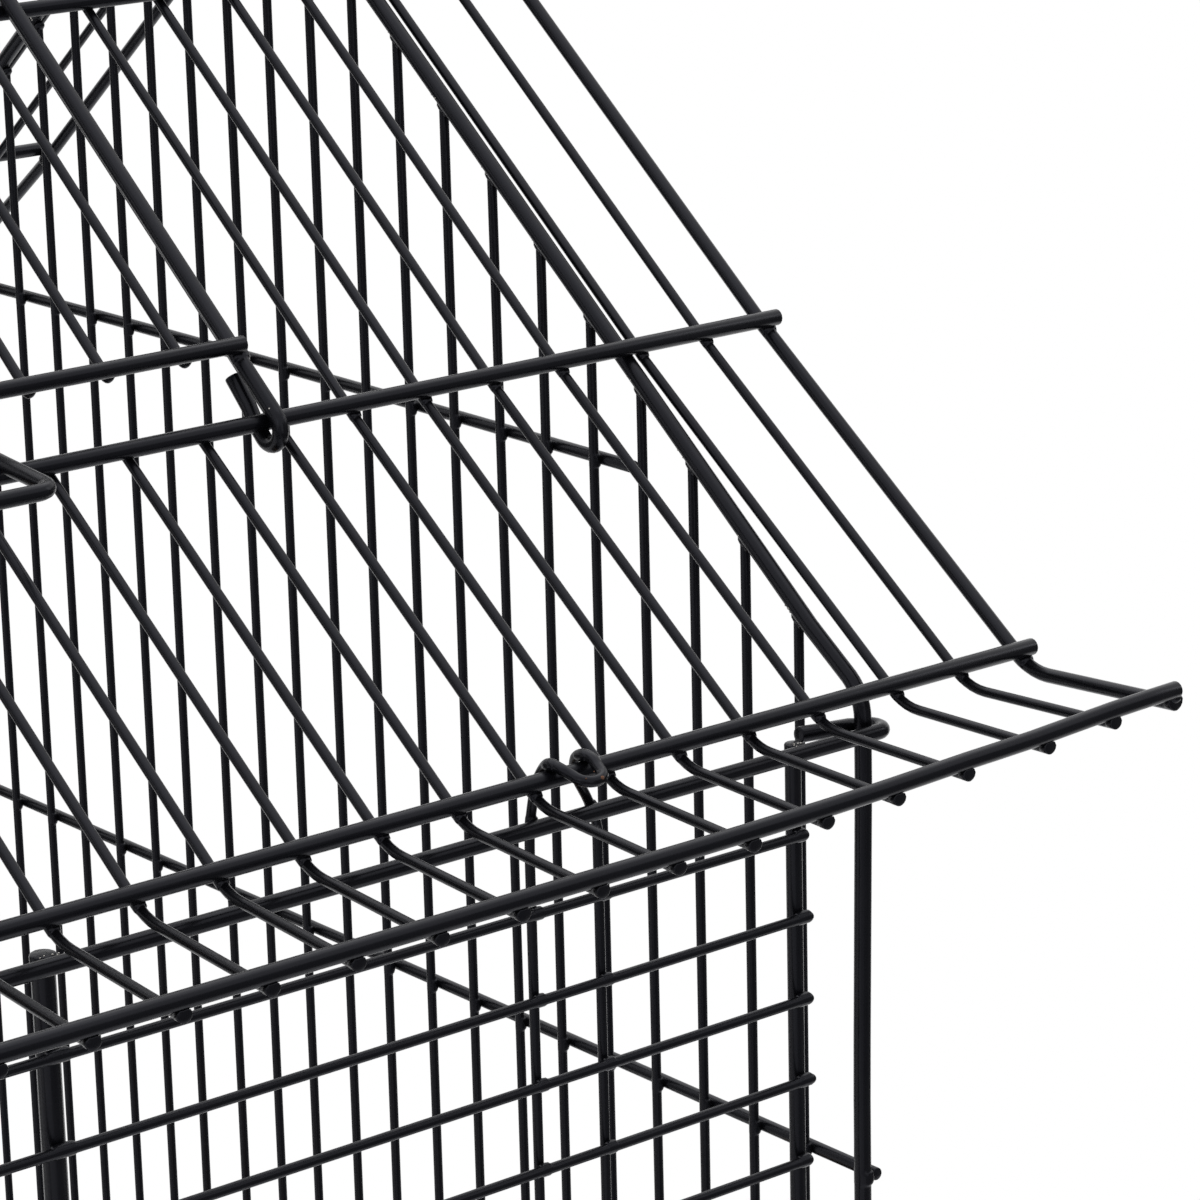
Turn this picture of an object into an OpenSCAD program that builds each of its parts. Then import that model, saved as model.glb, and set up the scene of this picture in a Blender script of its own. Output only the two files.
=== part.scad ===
// Bird cage with stand: wire panel cage with a gabled, flared roof on a rolling stand.
// The floor is z = 0, the front is towards -Y, and x = y = 0 is the middle of the footprint.

/* [Cage] */
// Distance between the corner posts along the front
cage_width = 556; // [460:1:700]
// Distance between the corner posts along the side
cage_depth = 384; // [330:1:460]
// Number of gaps between the horizontal wires of the front panel
wall_gaps = 33; // [30:1:36]
// Spacing of the horizontal wires
wall_pitch = 15.64; // [14.5:0.02:17]
// Spacing of the upright bars in the side panels
bar_pitch = 14.6; // [13:0.1:17]
// Diameter of the thin wires
thin_d = 1.8; // [1.6:0.1:2.2]
// Diameter of the thick frame wires
thick_d = 3.0; // [2.6:0.1:3.4]
// Diameter of the two door posts
door_post_d = 4.0; // [3.6:0.1:4.6]
// Distance from the corner post to the door post
door_post_in = 172.6; // [150:0.2:190]

/* [Roof] */
// Slope of the gables and the upper roof
roof_angle = 38.6; // [32:0.1:42]
// Slope of the lower roof, between the middle rail and the eave rail
lower_angle = 36; // [34:0.1:38]
// Distance of the middle rail behind the front corner, measured level
mid_in = 64.1; // [56:0.1:76]
// Reach of the flared eave in front of the corner
eave_reach = 47; // [38:0.5:58]
// Overhang of the verge wire beyond the gable
verge_out = 34.9; // [30:0.1:44]
// Spacing of the roof wires
roof_pitch = 15.9; // [14.5:0.1:17]

/* [Base and stand] */
// Height of the base walls
base_height = 80; // [76:1:96]
// Height of the top of the stand above the floor
stand_height = 700; // [560:1:760]
// Height of the shelf rails above the floor
shelf_height = 190; // [150:1:260]
// Width of the square stand tube
tube_w = 20; // [18:0.5:25]
// Wall of the square stand tube
tube_wall = 1.5; // [1.2:0.1:2]
// Diameter of the caster wheels
wheel_d = 50; // [44:1:54]
// Distance of the caster axle behind its swivel axis
caster_trail = 18; // [14:0.5:22]

/* [Fittings] */
// Diameter of the wooden perches
perch_d = 14; // [11:0.5:16]
// Length of the swing hangers
swing_drop = 150; // [110:1:180]
// Width of the feed cups
cup_w = 84; // [70:1:88]
// Depth of the feed cups from front to back
cup_depth = 58; // [48:1:70]
// Height of the feed cups
cup_h = 52; // [40:1:60]

/* [Hidden] */
$fn = 48;
touch = 0.02;
rt = thin_d / 2;
rk = thick_d / 2;
rp = door_post_d / 2;
rail_r = 1.2;
verge_r = 1.3;
half_w = cage_width / 2;
half_d = cage_depth / 2;
ease = 0.1;
end_past = 1;
steel = [0.10, 0.10, 0.11];
zinc = [0.55, 0.56, 0.58];
wood = [0.78, 0.62, 0.42];
plastic = [0.13, 0.13, 0.14];
rubber = [0.20, 0.20, 0.21];

// Heights
base_top = stand_height + base_height;
wall_bottom = base_top + rk + touch;
top_drop = 6.4;
corner_z = wall_bottom + top_drop + wall_gaps * wall_pitch;
top_rail_z = corner_z - top_drop;

// Roof lines, as [y, z] points of the front half
wire_rise = 0.7;
mid_wire = [-half_d + mid_in, corner_z + mid_in * tan(roof_angle) + wire_rise / cos(roof_angle)];
rail_off = rk + rt + touch;
function on_roof(s, o) = [
  mid_wire[0] + s * cos(roof_angle) - o * sin(roof_angle),
  mid_wire[1] + s * sin(roof_angle) + o * cos(roof_angle)
];
ridge_in = 3;
ridge_s = (half_d - mid_in - ridge_in) / cos(roof_angle);
eave_out = 8.5;
eave_run = (mid_in + eave_out) / cos(lower_angle);
eave_bend = mid_wire - eave_run * [cos(lower_angle), sin(lower_angle)];
eave_r = 12;
eave_start = eave_bend + eave_r * tan(lower_angle / 2) * [cos(lower_angle), sin(lower_angle)];
eave_centre = eave_start + eave_r * [-sin(lower_angle), cos(lower_angle)];
flare_dip = 0.3;
tip_wire = [-half_d - eave_reach, eave_bend[1] - flare_dip];
mid_rail = mid_wire + rail_off * [-sin((roof_angle + lower_angle) / 2), cos((roof_angle + lower_angle) / 2)];
eave_rail_angle = 33.5;
eave_rail = eave_centre + (eave_r - rail_off) * [sin(eave_rail_angle), -cos(eave_rail_angle)];
tip_past = 2.4;
tip_rail = [tip_wire[0] + tip_past, tip_wire[1] + rail_off + touch];
ridge_rail = on_roof(ridge_s, rail_off);
side_rail_share = 0.64;
side_rail_s = ridge_s * side_rail_share;
side_rail = on_roof(side_rail_s, rail_off);
rail_past = 1.6;
rail_half = half_w + verge_out + rail_past;
edge_in = 15.7;
roof_gaps = round((cage_width - 2 * edge_in) / roof_pitch);
roof_step = (cage_width - 2 * edge_in) / roof_gaps;
function wire_x(k) = -half_w + edge_in + k * roof_step;
edge_wire = 4;

// Hatch, hung on the middle rail, in a frame with y up the slope and z out of the roof
hatch_beside = 3.55;
hatch_x = half_w - edge_in - edge_wire * roof_step - hatch_beside;
hatch_off = thick_d + 2 * ease;
hatch_low = 13;
ridge_gap = 10.5;
hatch_top = ridge_s - ridge_gap;
hook_r = rk + rk + 0.15;
hook_s = -1.3;
hook_leg = 12.5;
rest_in = 55.5;
rest_x = hatch_x - rest_in;

// Front panel planes
frame_y = -half_d - thick_d - ease;
back_plane = frame_y + rk + touch;
wire_y = back_plane - rt - touch;
post_in = 16;
post_x = half_w - post_in;
clip_in1 = 76.2;
clip_in2 = 61.4;
clip_x1 = half_w - clip_in1;
clip_x2 = half_w - clip_in2;
door_x = half_w - door_post_in;
function row_z(i) = top_rail_z - i * wall_pitch;
bottom_row = wall_gaps;
door_top_row = 6;
door_end_row = wall_gaps - 8;
feed_rows = 5;
feed_end_row = door_end_row - 1;
feed_top_row = feed_end_row - feed_rows;
past = 3.5;
post_past = 2;
post_top = 0.8;
hook_return = 12.6;

// Side panel
bar_in = 16.8;
bar_gaps = round((cage_depth - 2 * bar_in) / bar_pitch);
bar_step = (cage_depth - 2 * bar_in) / bar_gaps;
function bar_y(k) = -half_d + bar_in + k * bar_step;
bar_out = rk - rt;
function gable_z(y) = corner_z + (half_d - abs(y)) * tan(roof_angle);
gable_rail_up = 29.8;
low_rail_up = 53.8;
bottom_rail_up = low_rail_up + top_drop;
side_rail_gaps = 4;
side_rail_step = (corner_z + gable_rail_up - wall_bottom - bottom_rail_up) / side_rail_gaps;
function cross_z(k) = corner_z + gable_rail_up - k * side_rail_step;

// Base
base_over = 8;
out_w = half_w + base_over;
out_d = half_d + base_over;
sheet = 1.2;
ledge_rise = 42;
ledge_z = stand_height + ledge_rise;
tray_h = 38;

// Stand
leg_in = 4;
leg_x = half_w - leg_in;
leg_y = half_d - leg_in;
leg_over_wheel = 16;
leg_bottom = wheel_d + leg_over_wheel;
half_tube = tube_w / 2;

// Node to draw, or all of them

// Straight round wire between two points
module rod(p, q, r) {
  d = q - p;
  translate(p)
    rotate([0, acos(d[2] / norm(d)), atan2(d[1], d[0])])
      cylinder(h = norm(d), r = r);
}

// Wire bent in one plane through 2D points; the straights run a little way into each bend
lap_max = 0.5;
bend_extra = 0.03;
function unit(v) = v / norm(v);
function turn(a, b) = atan2(a[0] * b[1] - a[1] * b[0], a * b);
function near(pts, i) = pts[(i + len(pts)) % len(pts)];
function bend_at(bends, i) = is_list(bends) ? bends[i - 1] : bends;
function setback(pts, i, bend) =
  bend * tan(abs(turn(pts[i] - near(pts, i - 1), near(pts, i + 1) - pts[i])) / 2);
function inset(pts, i, bends, closed) =
  (!closed && (i == 0 || i == len(pts) - 1)) ? 0
  : setback(pts, i, bend_at(bends, i)) - min(lap_max, sqrt(bend_at(bends, i) * bend_extra));
module bent(pts, bends, r, closed = false) {
  n = len(pts);
  for (i = [0 : closed ? n - 1 : n - 2]) {
    d = unit(near(pts, i + 1) - pts[i]);
    a = pts[i] + d * inset(pts, i, bends, closed);
    b = near(pts, i + 1) - d * inset(pts, (i + 1) % n, bends, closed);
    rod([a[0], a[1], 0], [b[0], b[1], 0], r);
  }
  for (i = [closed ? 0 : 1 : closed ? n - 1 : n - 2]) {
    bend = bend_at(bends, i);
    d1 = unit(pts[i] - near(pts, i - 1));
    d2 = unit(near(pts, i + 1) - pts[i]);
    t = turn(d1, d2);
    s = t > 0 ? 1 : -1;
    c = pts[i] - d1 * setback(pts, i, bend) + s * bend * [-d1[1], d1[0]];
    from = atan2(s * -d1[0], s * d1[1]);
    translate([c[0], c[1], 0])
      rotate([0, 0, s > 0 ? from : from + t])
        rotate_extrude(angle = abs(t))
          translate([bend, 0]) circle(r = r + bend_extra);
  }
}

// Plane helpers: 2D (u, v) drawn as (y, z) at one x, or as (x, z) at one y
module at_x(x) translate([x, 0, 0]) rotate([90, 0, 90]) children();
module at_y(y) translate([0, y, 0]) rotate([90, 0, 0]) children();
module both_x() {
  children();
  mirror([1, 0, 0]) children();
}
module both_y() {
  children();
  mirror([0, 1, 0]) children();
}
module on_slope() translate([0, mid_rail[0], mid_rail[1]]) rotate([roof_angle, 0, 0]) children();

// Side panels
side_bend = 9;
module side_frames() color(steel) both_x() at_x(half_w)
  bent([[-half_d, wall_bottom], [-half_d, corner_z], [0, gable_z(0)],
    [half_d, corner_z], [half_d, wall_bottom]], side_bend, rk, closed = true);

peak_drop = 5.2;
module side_bars() color(steel) both_x()
  for (k = [0 : bar_gaps]) {
    y = bar_y(k);
    top = gable_z(abs(y) + rt) - rk / cos(roof_angle) - touch;
    peak = gable_z(0) - peak_drop;
    translate([half_w + bar_out, y, wall_bottom + rk + touch])
      cylinder(h = min(top, peak) - wall_bottom - rk - touch, r = rt);
  }

gable_rail_past = 9.6;
module side_rails() color(steel) both_x()
  for (k = [0 : side_rail_gaps]) {
    reach = k == 0 ? bar_y(bar_gaps - 4) + gable_rail_past : half_d + end_past;
    translate([half_w + rk + rail_r + touch, -reach, cross_z(k)])
      rotate([-90, 0, 0]) cylinder(h = 2 * reach, r = rail_r);
  }

// Front and back frames: a top and a bottom wire that hook round the corner posts
module post_hook(z) translate([0, 0, z]) {
  rod([0, frame_y, 0], [half_w, frame_y, 0], rk);
  translate([half_w, -half_d, 0]) rotate([0, 0, -90])
    rotate_extrude(angle = 180) translate([thick_d + ease, 0]) circle(r = rk);
  back = -half_d + thick_d + ease;
  rod([half_w - hook_return, back, 0], [half_w, back, 0], rk);
}

module end_frame() {
  both_x() post_hook(top_rail_z);
  both_x() post_hook(row_z(bottom_row - 1));
  both_x() translate([post_x, back_plane + rk, wall_bottom - rk + touch])
    cylinder(h = top_rail_z - wall_bottom + rk + post_top, r = rk);
}

module front_frame() color(steel) {
  end_frame();
  both_x() translate([door_x, back_plane + rp, wall_bottom - rk + touch])
    cylinder(h = top_rail_z - wall_bottom + rk + post_top, r = rp);
}

module back_frame() color(steel) mirror([0, 1, 0]) end_frame();

module row(x1, x2, z) rod([x1, wire_y, z], [x2, wire_y, z], rt);

module front_wires() color(steel) {
  wide = post_x + post_past;
  for (i = [1 : bottom_row - 2]) {
    z = row_z(i);
    in_door = i > door_top_row && i < door_end_row;
    in_feed = i > feed_top_row && i < feed_end_row;
    if (!in_door && !in_feed)
      row(-wide, wide, z);
    if (in_door && !in_feed)
      both_x() row(door_x - past, wide, z);
    if (in_door && in_feed)
      both_x() row(clip_x1 - past, wide, z);
  }
}

module back_wires() color(steel) mirror([0, 1, 0]) {
  wide = post_x + post_past;
  for (i = [1 : bottom_row - 2]) row(-wide, wide, row_z(i));
}

// Two uprights that lean over the eave rail and join in a hairpin
hairpin_half = 3.25;
hairpin_side = 0.9;
hairpin_out = 8.5;
lean_start = 1.4;
lean_bend = 3;
module hairpin() {
  y = back_plane + rt;
  ey = eave_rail[0];
  ez = eave_rail[1];
  middle = clip_x1 + hairpin_side + hairpin_half;
  module strand(foot_x, x) {
    knee = [x, ey + 1.6, ez + 2.1];
    over = [x, ey - 0.6, ez + rk + rt + ease];
    fall = [x, ey - 3.4, ez + 1.8];
    end = [x, ey - hairpin_out, ez + 0.2];
    run = [x - foot_x, knee[1] - y];
    arch = [knee, over, fall, end];
    leg = [[0, wall_bottom - rk + touch], [0, top_rail_z + lean_start], [norm(run), knee[2]]];
    translate([foot_x, y, 0]) rotate([0, 0, atan2(run[1], run[0])]) rotate([90, 0, 0])
      bent(leg, lean_bend, rt);
    for (i = [0 : 2]) rod(arch[i], arch[i + 1], rt);
    for (point = arch) translate(point) sphere(r = rt + bend_extra);
  }
  strand(clip_x1, middle - hairpin_half);
  strand(clip_x2, middle + hairpin_half);
  translate([middle, ey - hairpin_out, ez + 0.2]) rotate([0, 0, 180])
    rotate_extrude(angle = 180) translate([hairpin_half, 0]) circle(r = rt);
}

module front_clips() color(steel) both_x() hairpin();
module back_clips() color(steel) mirror([0, 1, 0]) both_x() hairpin();

// Roof
mid_bend_r = 60;
wire_past = 2;
verge_shift = [0.25, -0.3];
outer_wire = 19.2;
gable_wire = 3.3;
module roof_wire(x, r, shift = [0, 0]) at_x(x) translate(shift)
  bent([tip_wire, eave_bend, mid_wire, on_roof(ridge_s + wire_past, 0)], [eave_r, mid_bend_r], r);

module short_wire(x) at_x(x)
  bent([tip_wire, eave_bend, mid_wire + wire_past * [cos(lower_angle), sin(lower_angle)]], eave_r, rt);

module plain_wires(first) {
  both_x() roof_wire(half_w + verge_out, verge_r, verge_shift);
  both_x() roof_wire(half_w + outer_wire, rt);
  both_x() roof_wire(half_w + gable_wire, rt);
  both_x() for (k = [0 : first]) roof_wire(wire_x(k), rt);
}

module long_rail(p, r) rod([-rail_half, p[0], p[1]], [rail_half, p[0], p[1]], r);

side_rail_in = 2.6;
module roof_front_rails() color(steel) {
  long_rail(mid_rail, rk);
  long_rail(eave_rail, rk);
  long_rail(tip_rail, rk);
  long_rail(ridge_rail, rk);
  inner = hatch_x - side_rail_in;
  both_x() rod([inner, side_rail[0], side_rail[1]], [rail_half, side_rail[0], side_rail[1]], rk);
}

module roof_front_wires() color(steel) {
  plain_wires(edge_wire);
  for (k = [edge_wire + 1 : roof_gaps - edge_wire - 1]) short_wire(wire_x(k));
}

module roof_back_rails() color(steel) mirror([0, 1, 0]) {
  long_rail(mid_rail, rk);
  long_rail(eave_rail, rk);
  long_rail(tip_rail, rk);
  long_rail(ridge_rail, rk);
  long_rail(side_rail, rk);
}

module roof_back_wires() color(steel) mirror([0, 1, 0]) {
  plain_wires(edge_wire);
  for (k = [edge_wire + 1 : roof_gaps - edge_wire - 1]) roof_wire(wire_x(k), rt);
}

// Open rings that tie the two ridge rails together
ring_places = [-15, -6, 6, 15];
ring_opening = 1.5;
module ridge_rings() color(steel) {
  gap = -ridge_rail[0];
  r = rk + rt + ease;
  for (i = ring_places) at_x(i * roof_step)
    translate([0, ridge_rail[1], 0]) {
      rod([-gap, r, 0], [gap, r, 0], rt);
      rod([-gap, -r, 0], [-ring_opening, -r, 0], rt);
      rod([ring_opening, -r, 0], [gap, -r, 0], rt);
      translate([-gap, 0, 0]) rotate([0, 0, 90])
        rotate_extrude(angle = 180) translate([r, 0]) circle(r = rt);
      translate([gap, 0, 0]) rotate([0, 0, -90])
        rotate_extrude(angle = 180) translate([r, 0]) circle(r = rt);
    }
}

// Fixed loop over the middle rail that stops the opened hatch
rest_tilt = 5;
rest_reach = 18.6;
rest_back = 3;
rest_bend = 3.2;
module hatch_rest() color(steel)
  translate([0, mid_rail[0], mid_rail[1] + thick_d + touch]) rotate([rest_tilt, 0, 0])
    bent([[-rest_x, rest_back], [-rest_x, -rest_reach], [rest_x, -rest_reach], [rest_x, rest_back]],
      rest_bend, rk);

module hatch_frame() color(steel) on_slope() {
  both_x() at_x(hatch_x) {
    rod([hook_s, hatch_off, 0], [hatch_top + rk + end_past, hatch_off, 0], rk);
    translate([hook_s, hatch_off - hook_r, 0]) rotate([0, 0, 90])
      rotate_extrude(angle = 180) translate([hook_r, 0]) circle(r = rk);
    rod([hook_s, hatch_off - 2 * hook_r, 0], [hook_leg, hatch_off - 2 * hook_r, 0], rk);
  }
  end = hatch_x + rk;
  o = hatch_off + thick_d + touch;
  for (s = [hatch_low, hatch_top]) rod([-end, s, o], [end, s, o], rk);
}

hatch_wire_in = 11.4;
hatch_wire_past = 0.4;
module hatch_wires() color(steel) on_slope() {
  first = hatch_x - hatch_wire_in;
  gaps = round(2 * first / roof_pitch);
  for (k = [0 : gaps])
    translate([-first + k * 2 * first / gaps, hatch_low - hatch_wire_past, hatch_off + rk - rt])
      rotate([-90, 0, 0]) cylinder(h = hatch_top - hatch_low + 2 * hatch_wire_past, r = rt);
}

// Main door
knuckle_r = rp + rk + 0.25;
knuckle_turn = 235;
door_past = 7.8;
bolt_past = 7;
door_y = back_plane + rp - knuckle_r;
door_in = door_x - door_past;
door_out = -door_x + bolt_past;
door_top_z = (row_z(door_top_row) + row_z(door_top_row + 1)) / 2;
door_low_z = (row_z(door_end_row - 1) + row_z(door_end_row)) / 2;
door_post_y = door_y + rk + rk + touch;
door_wire_y = door_post_y - rk - rt - touch;
latch_row = floor((door_top_row + door_end_row) / 2);
latch_z = (row_z(latch_row) + row_z(latch_row + 1)) / 2;
bolt_r = 2;
sleeve_r = 3.6;
sleeve_bore = bolt_r + 2 * ease;
sleeve_length = 8;
bolt_off = 6.1;
bolt_y = door_wire_y - rt - bolt_off;
plate_h = 22;
plate_lap = 0.3;
plate_y = bolt_y + sleeve_r - plate_lap;
latch_in = 3;
latch_x = door_out + latch_in;
latch_w = 47;
keeper_w = 12;
keeper_off = 17;
keeper_x = -door_x - keeper_off;
bolt_length = 71;
knob_in = 38;
knob_x = door_out + knob_in;
knob_r = 4;
peg_r = 1.6;
peg_h = 9;
stop_out = 13.5;

module door_frame() color(steel) {
  for (z = [door_top_z, door_low_z]) {
    rod([door_out - stop_out, door_y, z], [door_x, door_y, z], rk);
    translate([door_x, door_y + knuckle_r, z]) rotate([0, 0, -90])
      rotate_extrude(angle = knuckle_turn) translate([knuckle_r, 0]) circle(r = rk);
  }
  for (x = [door_in, door_out])
    translate([x, door_post_y, door_low_z - rk - end_past / 2])
      cylinder(h = door_top_z - door_low_z + thick_d + end_past, r = rk);
}

module door_wires() color(steel) {
  first = door_out - rk - end_past / 2;
  last = door_in + rk + end_past / 2;
  for (i = [door_top_row + 1 : door_end_row - 1])
    rod([first, door_wire_y, row_z(i)], [last, door_wire_y, row_z(i)], rt);
  for (x = [door_x / 3, -door_x / 3])
    translate([x, door_wire_y + thin_d + touch, door_low_z + rk + ease])
      cylinder(h = door_top_z - door_low_z - thick_d - 2 * ease, r = rt);
}

module along_x(x, y, z) translate([x, y, z]) rotate([0, 90, 0]) children();

module bolt_plate(x, width, rear_y, sleeves) difference() {
  union() {
    translate([x, plate_y, latch_z - plate_h / 2]) cube([width, rear_y - plate_y, plate_h]);
    for (place = sleeves) along_x(x + place, bolt_y, latch_z) cylinder(h = sleeve_length, r = sleeve_r);
  }
  along_x(x - 1, bolt_y, latch_z) cylinder(h = width + 2, r = sleeve_bore);
}

module door_latch_plate() color(steel)
  bolt_plate(latch_x, latch_w, door_wire_y - rt - touch, [2, latch_w - sleeve_length - 2]);

module bolt_keeper() color(steel)
  bolt_plate(keeper_x, keeper_w, wire_y - rt - touch, [2]);

module door_bolt() color(zinc) {
  along_x(door_out + 1, bolt_y, latch_z) cylinder(h = bolt_length, r = bolt_r);
  translate([knob_x, bolt_y - bolt_r / 2, latch_z]) rotate([90, 0, 0]) cylinder(h = peg_h, r = peg_r);
  translate([knob_x, bolt_y - bolt_r / 2 - peg_h - knob_r * 0.6, latch_z]) sphere(r = knob_r);
}

// Feeder flaps, hung on a row wire, and their cups
flap_r = 1.2;
flap_hang = rt + flap_r + 0.15;
flap_turn = 230;
flap_pitch = 14;
flap_foot = 2.4;
flap_rail_down = 7;
flap_wire_short = 3;
finger_half = 12;
flap_y = wire_y - flap_hang;
flap_rail_y = flap_y - flap_r - rt - touch;
finger_y = flap_rail_y - thin_d - touch;
flap_off_door = 8.5;
flap_off_clip = 7;
flap_x1 = door_x + flap_off_door;
flap_x2 = clip_x1 - flap_off_clip;
flap_middle = (flap_x1 + flap_x2) / 2;
module feeder_flap() {
  top = row_z(feed_top_row);
  low = row_z(feed_end_row);
  for (x = [flap_x1, flap_x2]) {
    translate([x, flap_y, low - flap_foot]) cylinder(h = top - low + flap_foot, r = flap_r);
    translate([x, wire_y, top]) rotate([90, 0, 90]) rotate([0, 0, 180 - flap_turn])
      rotate_extrude(angle = flap_turn) translate([flap_hang, 0]) circle(r = flap_r);
  }
  for (z = [low, top - flap_rail_down])
    rod([flap_x1 - flap_foot, flap_rail_y, z], [flap_x2 + flap_foot, flap_rail_y, z], rt);
  gaps = round((flap_x2 - flap_x1) / flap_pitch);
  for (k = [1 : gaps - 1])
    translate([flap_x1 + k * (flap_x2 - flap_x1) / gaps, flap_y - flap_r + rt, low - flap_foot + rt / 2])
      cylinder(h = top - low - flap_wire_short, r = rt);
  rod([flap_middle - finger_half, finger_y, low], [flap_middle + finger_half, finger_y, low], rt);
}
module feeder_door_right() color(steel) feeder_flap();
module feeder_door_left() color(steel) mirror([1, 0, 0]) feeder_flap();

module slab(w, d, h, r) linear_extrude(height = h) {
  translate([-w / 2 + r, -d / 2]) square([w - 2 * r, d]);
  translate([-w / 2, -d / 2 + r]) square([w, d - 2 * r]);
  for (x = [-1, 1], y = [-1, 1]) translate([x * (w / 2 - r), y * (d / 2 - r)]) circle(r = r);
}

cup_wall = 2.2;
cup_floor = 2;
cup_corner = 9;
cup_clear = 0.6;
cup_over_wire = 12;
hook_w = 10;
hook_h = 6;
hook_t = 2;
hook_apart = 20;
module feed_cup() {
  front = back_plane + 2 * rp + cup_clear;
  hang = row_z(feed_end_row + 1);
  base = hang + cup_over_wire - cup_h;
  hook_y = wire_y - rt - hook_t - ease;
  difference() {
    translate([flap_middle, front + cup_depth / 2, base]) slab(cup_w, cup_depth, cup_h, cup_corner);
    translate([flap_middle, front + cup_depth / 2, base + cup_floor])
      slab(cup_w - 2 * cup_wall, cup_depth - 2 * cup_wall, cup_h, cup_corner - cup_wall);
  }
  for (x = [flap_middle - hook_apart, flap_middle + hook_apart - hook_w]) {
    translate([x, hook_y, hang + rt + touch]) cube([hook_w, front - hook_y + cup_wall / 4, hook_t]);
    translate([x, hook_y, hang - hook_h]) cube([hook_w, hook_t - ease, hook_h + rt + hook_t / 4]);
  }
}
module feed_cup_right() color(plastic) feed_cup();
module feed_cup_left() color(plastic) mirror([1, 0, 0]) feed_cup();

// Perches: dowels slotted over the side bars and lying on the outer side rails
slot_ease = 0.15;
slot_in = 5;
perch_past = 2;
front_perch_share = 0.3;
back_perch_share = 0.68;
module perch(y, k) {
  z = cross_z(k) + rail_r + perch_d / 2 + ease / 2;
  reach = half_w + rk + 2 * rail_r + perch_past;
  difference() {
    along_x(-reach, y, z) cylinder(h = 2 * reach, d = perch_d);
    both_x() translate([half_w - slot_in, y - rt - slot_ease, z - perch_d])
      cube([reach, thin_d + 2 * slot_ease, 2 * perch_d]);
  }
}
module perches() color(wood) {
  perch(bar_y(floor(bar_gaps * front_perch_share)), 2);
  perch(bar_y(floor(bar_gaps * back_perch_share)), 3);
}

// Swing on the back ridge rail
swing_r = rk + rail_r + 0.25;
swing_bend = 2.2;
swing_tip = 3;
swing_x = 3 * roof_step;
module swing_hanger() color(steel) translate([0, -ridge_rail[0], ridge_rail[1]]) {
  both_x() at_x(swing_x) {
    rotate_extrude(angle = 180) translate([swing_r, 0]) circle(r = rail_r);
    rod([swing_r, 0, 0], [swing_r, -swing_tip, 0], rail_r);
  }
  at_y(-swing_r)
    bent([[-swing_x, 0], [-swing_x, -swing_drop], [swing_x, -swing_drop], [swing_x, 0]], swing_bend, rail_r);
}
groove = rail_r + 2 * ease;
past_wire = 14;
wire_sunk = 1;
module swing_perch() color(wood) {
  perch_z = ridge_rail[1] - swing_drop + perch_d / 2 - wire_sunk;
  along_x(-swing_x - past_wire, -ridge_rail[0] - swing_r, perch_z)
    difference() {
      cylinder(h = 2 * (swing_x + past_wire), d = perch_d);
      for (h = [past_wire, 2 * swing_x + past_wire])
        translate([-perch_d, -groove, h - groove]) cube([2 * perch_d, 2 * groove, 2 * groove]);
      translate([perch_d / 2 - wire_sunk - groove, -groove, past_wire])
        cube([perch_d, 2 * groove, 2 * swing_x]);
    }
}

// Base: folded sheet walls with top and bottom flanges and a ledge for the grate
flange = 16;
top_flange = 20;
ledge_w = 13;
ledge_up = ledge_z - stand_height;
front_wall = 15;
module side_section() polygon([
  [0, 0], [flange, 0], [flange, sheet], [sheet, sheet], [sheet, ledge_up], [ledge_w, ledge_up],
  [ledge_w, ledge_up + sheet], [sheet, ledge_up + sheet], [sheet, base_height - sheet],
  [top_flange, base_height - sheet], [top_flange, base_height], [0, base_height]
]);
module base_sides() color(steel) both_x()
  translate([-out_w, out_d, stand_height]) rotate([90, 0, 0])
    linear_extrude(height = 2 * out_d) side_section();

module cross_wall(y) translate([-out_w + top_flange, y, stand_height]) rotate([90, 0, 90])
  linear_extrude(height = 2 * (out_w - top_flange)) children();

module base_back() color(steel) cross_wall(out_d) mirror([1, 0, 0]) polygon([
  [0, 0], [flange, 0], [flange, sheet], [sheet, sheet], [sheet, base_height - sheet],
  [top_flange, base_height - sheet], [top_flange, base_height], [0, base_height]
]);

module base_front() color(steel) cross_wall(-out_d) polygon([
  [0, base_height - front_wall], [sheet, base_height - front_wall], [sheet, base_height - sheet],
  [top_flange, base_height - sheet], [top_flange, base_height], [0, base_height]
]);

tray_wall = 1.5;
tray_ease = 1;
tray_gap = 0.3;
tray_z = stand_height + sheet + tray_gap;
handle_half = 60;
handle_out = 22;
handle_bend = 9;
handle_r = 2.5;
handle_share = 0.6;
module tray_pan() color(steel) {
  w = 2 * (out_w - sheet - tray_ease);
  d = 2 * out_d - sheet - 3 * tray_ease;
  difference() {
    translate([-w / 2, -out_d, tray_z]) cube([w, d, tray_h]);
    translate([-w / 2 + tray_wall, -out_d + tray_wall, tray_z + tray_wall])
      cube([w - 2 * tray_wall, d - 2 * tray_wall, tray_h]);
  }
}

module tray_handle() color(steel)
  translate([0, -out_d - touch, tray_z + tray_h * handle_share])
    bent([[-handle_half, 0], [-handle_half, -handle_out], [handle_half, -handle_out], [handle_half, 0]],
      handle_bend, handle_r);

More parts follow.
